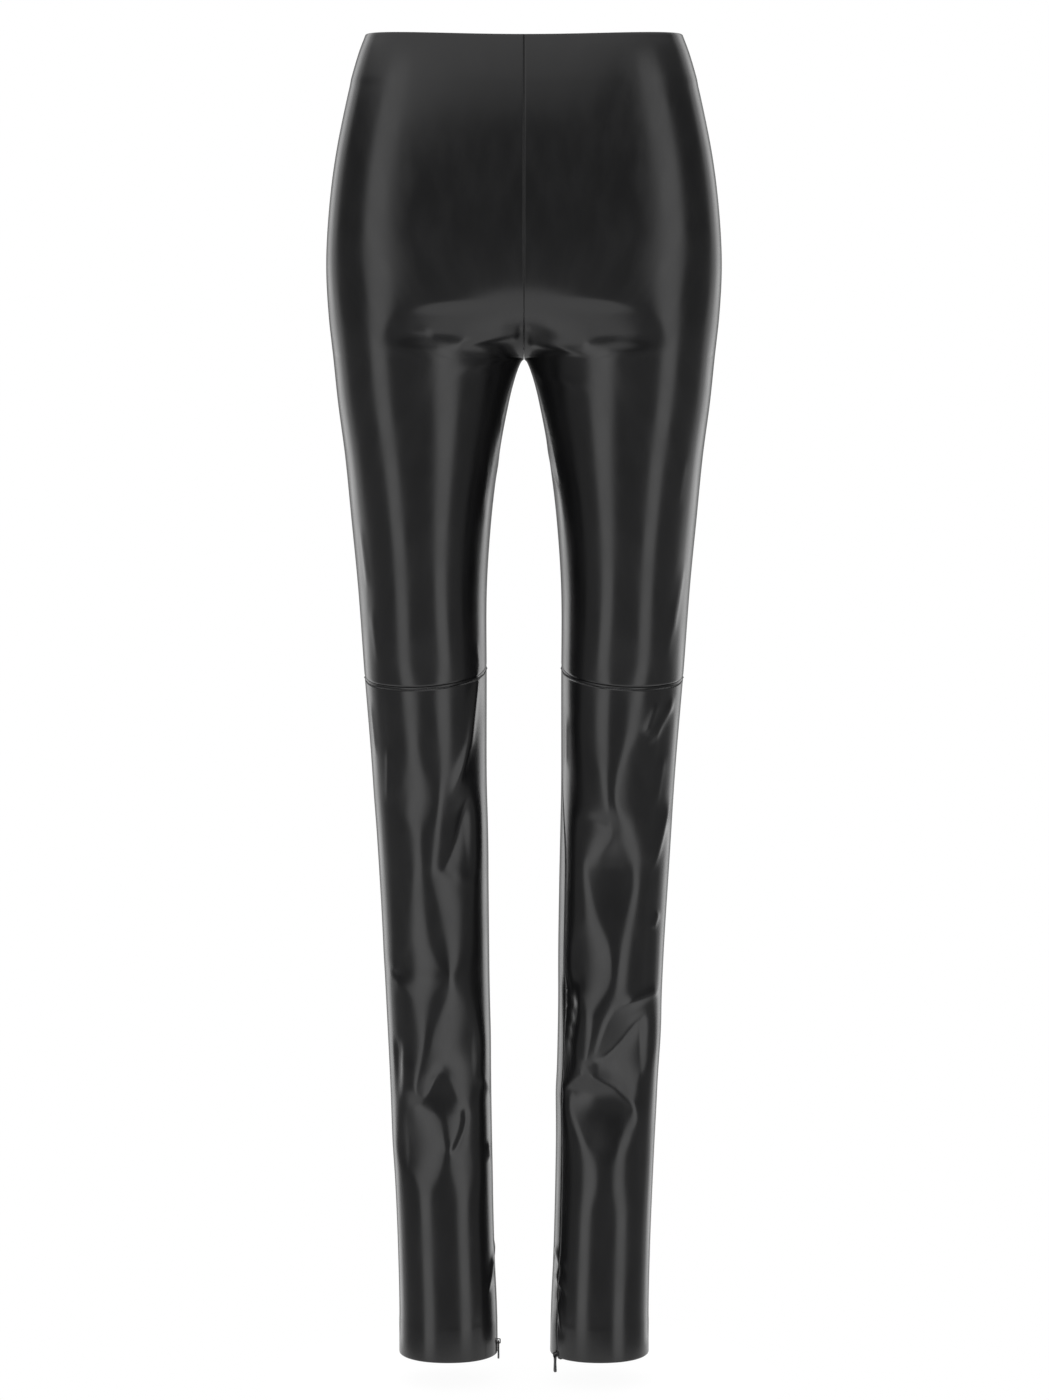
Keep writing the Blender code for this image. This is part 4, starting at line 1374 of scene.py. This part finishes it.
@dataclass
class Studio:
    """Camera, floor and surroundings: a pale room with two tall soft boxes on each side.

    The surroundings are given by direction: angles are in degrees, away from straight in front
    (front) or from the horizon (up). A passage has the angles where it starts and ends, and the
    share of light before and after it. The boxes stand box_angle from straight in front and
    behind, and box_sides and box_tops are their edges.
    """

    camera_place: tuple[float, float, float] = (0.0, -3.13, -0.2925)
    camera_aim: tuple[float, float, float] = (0.0, 0.0, -0.5535)
    metres_per_pixel: float = 0.8437 * MM
    frame_height: int = 1400
    frame_width: int = 1049
    middle_pixel: float = 524.0
    middle_row: float = 701.5
    sensor: float = 24.0
    near_clip: float = 0.05
    far_clip: float = 200.0
    box: float = 1.5
    box_angle: float = 38.5
    box_sides: Passage = (8.5, 15.5, 1.0, 0.0)
    box_tops: Passage = (33.0, 43.0, 1.0, 0.0)
    wall: float = 0.9
    wall_sides: Passage = (104.0, 120.0, 0.0, 1.0)
    wall_behind: Passage = (150.0, 166.0, 1.0, 0.0)
    wall_foot: Passage = (-14.0, -2.0, 0.45, 1.0)
    ceiling: float = 0.9
    ceiling_slant: float = 13.0
    ceiling_sides: float = 12.0
    ceiling_edge: Passage = (12.0, 38.0, 0.0, 1.0)
    ceiling_behind: Passage = (95.0, 110.0, 1.0, 0.75)
    ground: float = 0.85
    ground_edge: Passage = (-39.0, -23.0, 1.0, 0.0)
    ground_behind: Passage = (95.0, 130.0, 1.0, 0.12)
    room: Passage = (-12.0, 2.0, 0.30, 0.17)
    floor_gap: float = 12 * MM
    floor_radius: float = 0.22
    floor_grey: float = 0.9
    floor_glow: float = 1.05
    floor_glow_share: float = 0.9

    def make_camera(self) -> None:
        """Makes the camera, at the photograph's angle and framing."""
        place, aim = Vector(self.camera_place), Vector(self.camera_aim)
        data = bpy.data.cameras.new("camera")
        camera = new_object("camera", data)
        camera.location = place
        camera.rotation_euler = (aim - place).to_track_quat("-Z", "Y").to_euler()
        focal_pixels = (aim - place).length / self.metres_per_pixel
        data.sensor_fit = "VERTICAL"
        data.sensor_height = self.sensor
        data.lens = self.sensor * focal_pixels / self.frame_height
        data.shift_x = (self.frame_width / 2 - self.middle_pixel) / self.frame_height
        data.shift_y = (self.middle_row - self.frame_height / 2) / self.frame_height
        data.clip_start = self.near_clip
        data.clip_end = self.far_clip
        bpy.context.scene.camera = camera

    def make_floor(self) -> None:
        """Makes the pale floor under the hems, which is clear from below."""
        bm = bmesh.new()
        bmesh.ops.create_circle(bm, cap_ends=True, segments=96, radius=self.floor_radius)
        below = CAD_BOX[0].z - self.floor_gap
        bmesh.ops.translate(bm, verts=bm.verts[:], vec=(0.0, 0.0, below))
        floor = new_piece("floor", bm, smooth=False)
        made = bpy.data.materials.new("pale_floor")
        tree = Tree(made)
        lit = tree.node("ShaderNodeBsdfDiffuse", {}, {"Color": (*(self.floor_grey,) * 3, 1.0)})
        white = tree.node("ShaderNodeEmission", {}, {"Strength": self.floor_glow})
        pale = tree.blend(self.floor_glow_share, lit, white)
        from_below = tree.node("ShaderNodeNewGeometry").outputs["Backfacing"]
        mixed = tree.blend(from_below, pale, tree.node("ShaderNodeBsdfTransparent"))
        tree.node("ShaderNodeOutputMaterial", {}, {0: mixed.outputs[0]})
        floor.data.materials.append(made)

    def make_surroundings(self) -> None:
        """Makes the world's light: soft boxes, pale walls at the sides, ceiling and ground."""
        world = bpy.data.worlds.new("studio")
        bpy.context.scene.world = world
        tree = Tree(world)
        x, y, z = tree.parts(tree.node("ShaderNodeTexCoord").outputs["Generated"])
        front = x.absolute().angle(y * -1.0)
        up = z.angle((x * x + y * y).root())
        either = 90.0 - (front - 90.0).absolute()
        boxes = (either - self.box_angle).absolute().step(*self.box_sides)
        boxes = boxes * up.absolute().step(*self.box_tops)
        walls = front.step(*self.wall_sides) * front.step(*self.wall_behind)
        walls = walls * up.step(*self.wall_foot)
        slant = (x * math.pi).wave() * self.ceiling_slant + x.absolute() * self.ceiling_sides
        ceiling = (up - slant).step(*self.ceiling_edge) * front.step(*self.ceiling_behind)
        ground = up.step(*self.ground_edge) * front.step(*self.ground_behind)
        light = (boxes * self.box).greatest(walls * self.wall)
        light = light.greatest(ceiling * self.ceiling).greatest(ground * self.ground)
        light = light + up.step(*self.room)
        studio = tree.node("ShaderNodeBackground", {}, {"Color": WHITE, "Strength": light})
        white = tree.node("ShaderNodeBackground", {}, {"Color": WHITE, "Strength": 1.0})
        seen = tree.node("ShaderNodeLightPath").outputs["Is Camera Ray"]
        mixed = tree.blend(seen, studio, white)
        tree.node("ShaderNodeOutputWorld", {}, {0: mixed.outputs[0]})

    def build(self) -> None:
        """Builds the whole studio."""
        bpy.context.scene.view_settings.view_transform = "Standard"
        self.make_camera()
        self.make_floor()
        self.make_surroundings()


# ---------------------------------------------------------------- the garment

# A panel's edge at a seam, in mm: how far each step lies from the edge, and how far inside.
SEAM_STEPS = ((1.7, 0.0), (1.0, 0.03), (0.55, 0.14), (0.22, 0.35), (0.05, 0.7), (0.0, 1.2))
KNEE_STEPS = ((2.1, 0.0), (1.4, 0.06), (0.85, 0.22), (0.4, 0.47), (0.11, 0.83), (0.0, 1.3))


def make_halves(form: Form) -> list[Half]:
    """Makes the wearer's left side and right side on one form."""
    left = Relief(form, Buckling(form, LEFT_STRIPS, LEFT_BACK_STRIPS), LEFT_CREASES, LEFT_FACETS)
    right = Relief(form, Buckling(form, RIGHT_STRIPS, RIGHT_BACK_STRIPS), RIGHT_CREASES, RIGHT_FACETS)
    return [
        Half(Side.LEFT, Ankle(31, 560, 700, 9), form, left),
        Half(Side.RIGHT, Ankle(11, 850, 1080, 4), form, right),
    ]


@dataclass(frozen=True)
class Turning:
    """How an open edge is turned in, from its outer face inwards.

    The cloth rounds the edge with the given radius, in bend_steps steps, and goes on inside for
    the given length.
    """

    length: float
    rows: int
    radius: float = 0.9 * MM
    bend_steps: int = 6

    def steps(self) -> np.ndarray:
        """Gives the edge as steps: how far each lies from the edge, and how far inside."""
        angles = np.linspace(0.0, math.pi, self.bend_steps + 1)
        bend = self.radius * (1 - np.stack([np.sin(angles), np.cos(angles)], axis=-1))
        away = self.radius + np.linspace(0.0, 1.0, self.rows + 1)[1:] * self.length
        flat = np.stack([away, np.full(self.rows, 2 * self.radius)], axis=-1)
        return np.concatenate([bend, flat])


def with_edges(values: np.ndarray, first: np.ndarray, last: np.ndarray) -> list[np.ndarray]:
    """Places a panel's rows or columns, with the steps of its edges at both ends.

    Args:
        values: The rows' or columns' values.
        first: The first edge's steps, each as how far it lies from the edge and how far inside.
        last: The last edge's steps.

    Returns:
        For each row or column its value, its shift away from the first edge and its inset.
    """
    between = np.zeros((len(values) - 2, 3))
    between[:, 0] = values[1:-1]
    first = np.insert(first[::-1], 0, values[0], axis=1)
    last = np.insert(last * (-1, 1), 0, values[-1], axis=1)
    return list(np.concatenate([first, between, last]).T)


@dataclass
class Leggings:
    """The eight panels of cloth."""

    halves: list[Half]
    thigh_columns: int = 72
    facing_rows: int = 14
    rise_rows: int = 76
    thigh_rows: int = 80
    shin_columns: int = 112
    shin_rows: int = 330
    calf_columns: int = 64
    calf_rows: int = 190
    waist_edge: Turning = Turning(8 * MM, 4)
    hem_edge: Turning = Turning(29 * MM, 12)
    thigh_cut: tuple[float, float] = (0.26, 0.56)
    thigh_area: float = 0.115
    shin_cut: tuple[float, float] = (0.19, 0.63)
    shin_area: float = 0.10

    def build_panel(
        self,
        node: str,
        half: Half,
        start: float,
        depth_at: Callable[[np.ndarray, np.ndarray], np.ndarray],
        columns: int,
        rows: list[np.ndarray],
    ) -> bpy.types.Object:
        """Builds and dresses one panel between two seams, with its edges turned in.

        Args:
            node: The CAD node that it stands for.
            half: The side that it belongs to.
            start: Where it starts around the sections. It ends 1 further on.
            depth_at: Gives the depths of places around it and values of its rows.
            columns: How many columns of faces it has, edges apart.
            rows: The rows' values, shifts down and insets.

        Returns:
            The panel's object.
        """
        seam = np.array(SEAM_STEPS) * MM
        share, aside, turned_in = with_edges(np.linspace(0.0, 1.0, columns + 1), seam, seam)
        value, below, folded_in = rows
        share, value = np.meshgrid(share, value)
        metre = half.form.metre(depth_at(start + share, value))
        around = start + share + aside * metre
        depth = depth_at(around, value) + below[:, None]
        inset = np.maximum(turned_in, folded_in[:, None])
        cut = ((around - start) / metre, -depth)
        points = half.cloth(around, depth, inset)
        panel = new_sheet(node + ".cloth", points, cut, half.side is Side.LEFT, backed=True)
        dress(panel, "garment", "faux_leather", FauxLeather(), KnitBack())
        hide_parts(node)
        return panel

    def build(self) -> None:
        """Builds and dresses every panel."""
        knee = np.array(KNEE_STEPS) * MM
        rows = np.concatenate([
            np.linspace(0.0, 1.0, self.facing_rows + 1),
            np.linspace(1.0, 2.0, self.rise_rows + 1)[1:],
            np.linspace(2.0, 3.0, self.thigh_rows + 1)[1:],
        ])
        thigh = with_edges(rows, self.waist_edge.steps(), knee)
        for half in self.halves:
            for face, start, lower, columns, count in (
                ("front", -1, "shin", self.shin_columns, self.shin_rows),
                ("back", 0, "calf", self.calf_columns, self.calf_rows),
            ):
                node = f"{face}_{half.side.word}_"
                panel = self.build_panel(
                    node + "thigh", half, start, half.thigh_depth, self.thigh_columns, thigh
                )
                shin = with_edges(np.linspace(0.0, 1.0, count + 1), knee, self.hem_edge.steps())
                panel = self.build_panel(node + lower, half, start, half.shin_depth, columns, shin)


@dataclass
class WaistFacing:
    """The ring of facing inside the waist, with an overlocked lower edge."""

    halves: list[Half]
    columns: int = 84
    rows: int = 12
    top: float = 1.2 * MM
    bottom: float = 39.6 * MM
    inset: float = 1.95 * MM
    thickness: float = 0.7 * MM
    cut: tuple[float, float] = (0.80, 0.042)
    area: float = 0.031
    stitch: float = 2.5 * MM
    stitch_height: float = 4 * MM
    stitch_edge: float = 0.3 * MM
    thread: float = 0.22 * MM

    def ring(self, around: np.ndarray, below: np.ndarray, inset: float) -> np.ndarray:
        """Gives points all round the waist, from the centre front by the wearer's left.

        Args:
            around: 0 to 4, with the centre back at 2.
            below: How far below the waist edge they lie.
            inset: How far inside the outer face.

        Returns:
            Their places.
        """
        left, right = self.halves
        placed = []
        for half, own in ((left, around - 1), (right, 3 - around)):
            own = np.clip(own, -1.0, 1.0)
            placed.append(half.cloth(own, half.waist_depth(own) + below, inset))
        return np.where((around <= 2)[..., None], *placed)

    def build_ring(self) -> bpy.types.Object:
        """Builds the facing's cloth.

        Returns:
            Its object.
        """
        around, below = np.meshgrid(
            np.linspace(0.0, 4.0, 4 * self.columns + 1),
            np.linspace(self.top, self.bottom, self.rows + 1),
        )
        points = self.ring(around, below, self.inset)
        cut = (around / self.halves[0].form.metre(0.0), -below)
        return new_sheet(
            "waist_facing.cloth", points, cut, reverse=True, closed=True, thickness=self.thickness
        )

    def build_stitches(self) -> bpy.types.Object:
        """Builds the overlocking round the facing's lower edge, a closed zigzag of thread.

        Returns:
            Its object.
        """
        length = 4 / self.halves[0].form.metre(0.0)
        count = 2 * round(length / self.stitch)
        around = np.linspace(0.0, 4.0, count, endpoint=False)
        below = self.bottom - self.stitch_edge - self.stitch_height * (np.arange(count) % 2)
        points = self.ring(around, below, self.inset + self.thickness + self.thread)
        name = "waist_facing.overlock"
        curve = bpy.data.curves.new(name, "CURVE")
        curve.dimensions = "3D"
        curve.bevel_depth = self.thread
        curve.bevel_resolution = 1
        spline = curve.splines.new("POLY")
        spline.points.add(count - 1)
        for place, point in zip(spline.points, points):
            place.co = (*point, 1.0)
        spline.use_cyclic_u = True
        guide = new_object(name + ".guide", curve)
        shaped = guide.evaluated_get(bpy.context.evaluated_depsgraph_get())
        mesh = bpy.data.meshes.new_from_object(shaped)
        bpy.data.objects.remove(guide)
        mesh.name = name
        mesh.shade_smooth()
        return new_object(name, mesh)

    def build(self) -> None:
        """Builds and dresses the facing."""
        ring, stitches = self.build_ring(), self.build_stitches()
        dress(ring, "garment", "facing", KnitBack())
        dress(stitches, "garment", "facing", Thread())
        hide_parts("waist_facing")


@dataclass
class AnkleZip:
    """One leg's zip: its tape and coil behind the inseam, its slider and its pull tab.

    bottom and top are heights over the hem, and the coil ends coil_ends inside the tape's ends.
    """

    half: Half
    reach: float = 7 * MM
    bottom: float = 13 * MM
    top: float = 102.5 * MM
    columns: int = 8
    rows: int = 45
    inset: float = 1.95 * MM
    thickness: float = 0.7 * MM
    cut: tuple[float, float] = (0.014, 0.090)
    coil_ends: tuple[float, float] = (2 * MM, 6 * MM)
    tooth_pitch: float = 1.1 * MM
    tooth_size: tuple[float, float, float] = (2.4 * MM, 0.55 * MM, 1.1 * MM)
    tooth_shift: float = 0.6 * MM
    tooth_round: float = 0.12 * MM
    metal_join: float = 0.005 * MM
    metal_round: float = 0.22 * MM
    metal_round_steps: int = 3
    smooth_angle: float = math.radians(35)
    round_angle: float = math.radians(40)

    def along_seam(self, aside: np.ndarray, above: np.ndarray, inset: float) -> np.ndarray:
        """Gives points behind the inseam.

        Args:
            aside: How far from the seam, to the front below 0 and to the back above it.
            above: How far above the hem.
            inset: How far inside the cloth's outer face.

        Returns:
            Their places.
        """
        depth = self.half.form.hem - above
        return self.half.cloth(1 + aside * self.half.form.metre(depth), depth, inset)

    def build_tape(self) -> bpy.types.Object:
        """Builds the tape, a strip behind the seam.

        Returns:
            Its object.
        """
        aside, above = np.meshgrid(
            np.linspace(-self.reach, self.reach, self.columns + 1),
            np.linspace(self.bottom, self.top, self.rows + 1),
        )
        side = self.half.side
        return new_sheet(
            f"zip_tape_{side.word}.tape",
            self.along_seam(aside, above, self.inset),
            (aside, above),
            reverse=side is Side.RIGHT,
            thickness=self.thickness,
        )

    def build_coil(self) -> bpy.types.Object:
        """Builds the closed coil on the tape, one small rounded bar for each tooth.

        Returns:
            Its object.
        """
        start, stop = self.bottom + self.coil_ends[0], self.top - self.coil_ends[1]
        above = np.arange(start, stop, self.tooth_pitch)
        depth_in = self.inset + self.thickness + self.tooth_size[2] / 2
        middle = self.along_seam(np.zeros_like(above), above, depth_in)
        aside = self.along_seam(np.full_like(above, MM), above, depth_in)
        higher = self.along_seam(np.zeros_like(above), above + MM, depth_in)
        size = Matrix.Diagonal((*self.tooth_size, 1.0))
        bm = bmesh.new()
        for index, place in enumerate(middle):
            along = Vector(aside[index] - place).normalized()
            up = Vector(higher[index] - place).normalized()
            turn = Matrix((along, up, along.cross(up))).transposed().to_4x4()
            shift = Matrix.Translation(((index % 2 - 0.5) * self.tooth_shift, 0.0, 0.0))
            matrix = Matrix.Translation(Vector(place)) @ turn @ shift @ size
            bmesh.ops.create_cube(bm, size=1.0, matrix=matrix)
        bmesh.ops.bevel(
            bm, geom=bm.edges[:], offset=self.tooth_round, affect="EDGES", segments=1,
            profile=0.5, material=-1,
        )
        bmesh.ops.recalc_face_normals(bm, faces=bm.faces[:])
        return new_piece(f"zip_coil_{self.half.side.word}", bm, smooth=False)

    def round_off(self, node: str) -> bpy.types.Object:
        """Makes a copy of a metal CAD node with its edges rounded.

        Args:
            node: The CAD node's name.

        Returns:
            The copy.
        """
        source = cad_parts[node]
        bm = bmesh.new()
        bm.from_mesh(source.data)
        bmesh.ops.transform(bm, matrix=source.matrix_world, verts=bm.verts[:])
        bmesh.ops.remove_doubles(bm, verts=bm.verts[:], dist=self.metal_join)
        piece = new_piece(node + ".metal", bm)
        piece.data.set_sharp_from_angle(angle=self.smooth_angle)
        rounded = piece.modifiers.new("rounded", "BEVEL")
        rounded.width = self.metal_round
        rounded.segments = self.metal_round_steps
        rounded.limit_method = "ANGLE"
        rounded.angle_limit = self.round_angle
        rounded.harden_normals = True
        return piece

    def build(self) -> None:
        """Builds and dresses the zip."""
        word = self.half.side.word
        tape, coil = self.build_tape(), self.build_coil()
        dress(tape, "garment", "zip_tape", WovenTape())
        dress(coil, "garment", "zip_metal", EnamelledMetal())
        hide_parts(f"zip_tape_{word}")
        for part, body in (("slider", "garment"), ("tab", f"tab_{word}")):
            node = f"zip_{part}_{word}"
            metal = self.round_off(node)
            dress(metal, body, "zip_metal", EnamelledMetal())
            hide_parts(node)


def main() -> None:
    """Builds and dresses every piece of the leggings."""
    logging.basicConfig(level=logging.INFO, format="%(message)s")
    Studio().build()
    halves = make_halves(Form())
    Leggings(halves).build()
    WaistFacing(halves).build()
    for half in halves:
        AnkleZip(half).build()


if __name__ == "__main__":
    main()
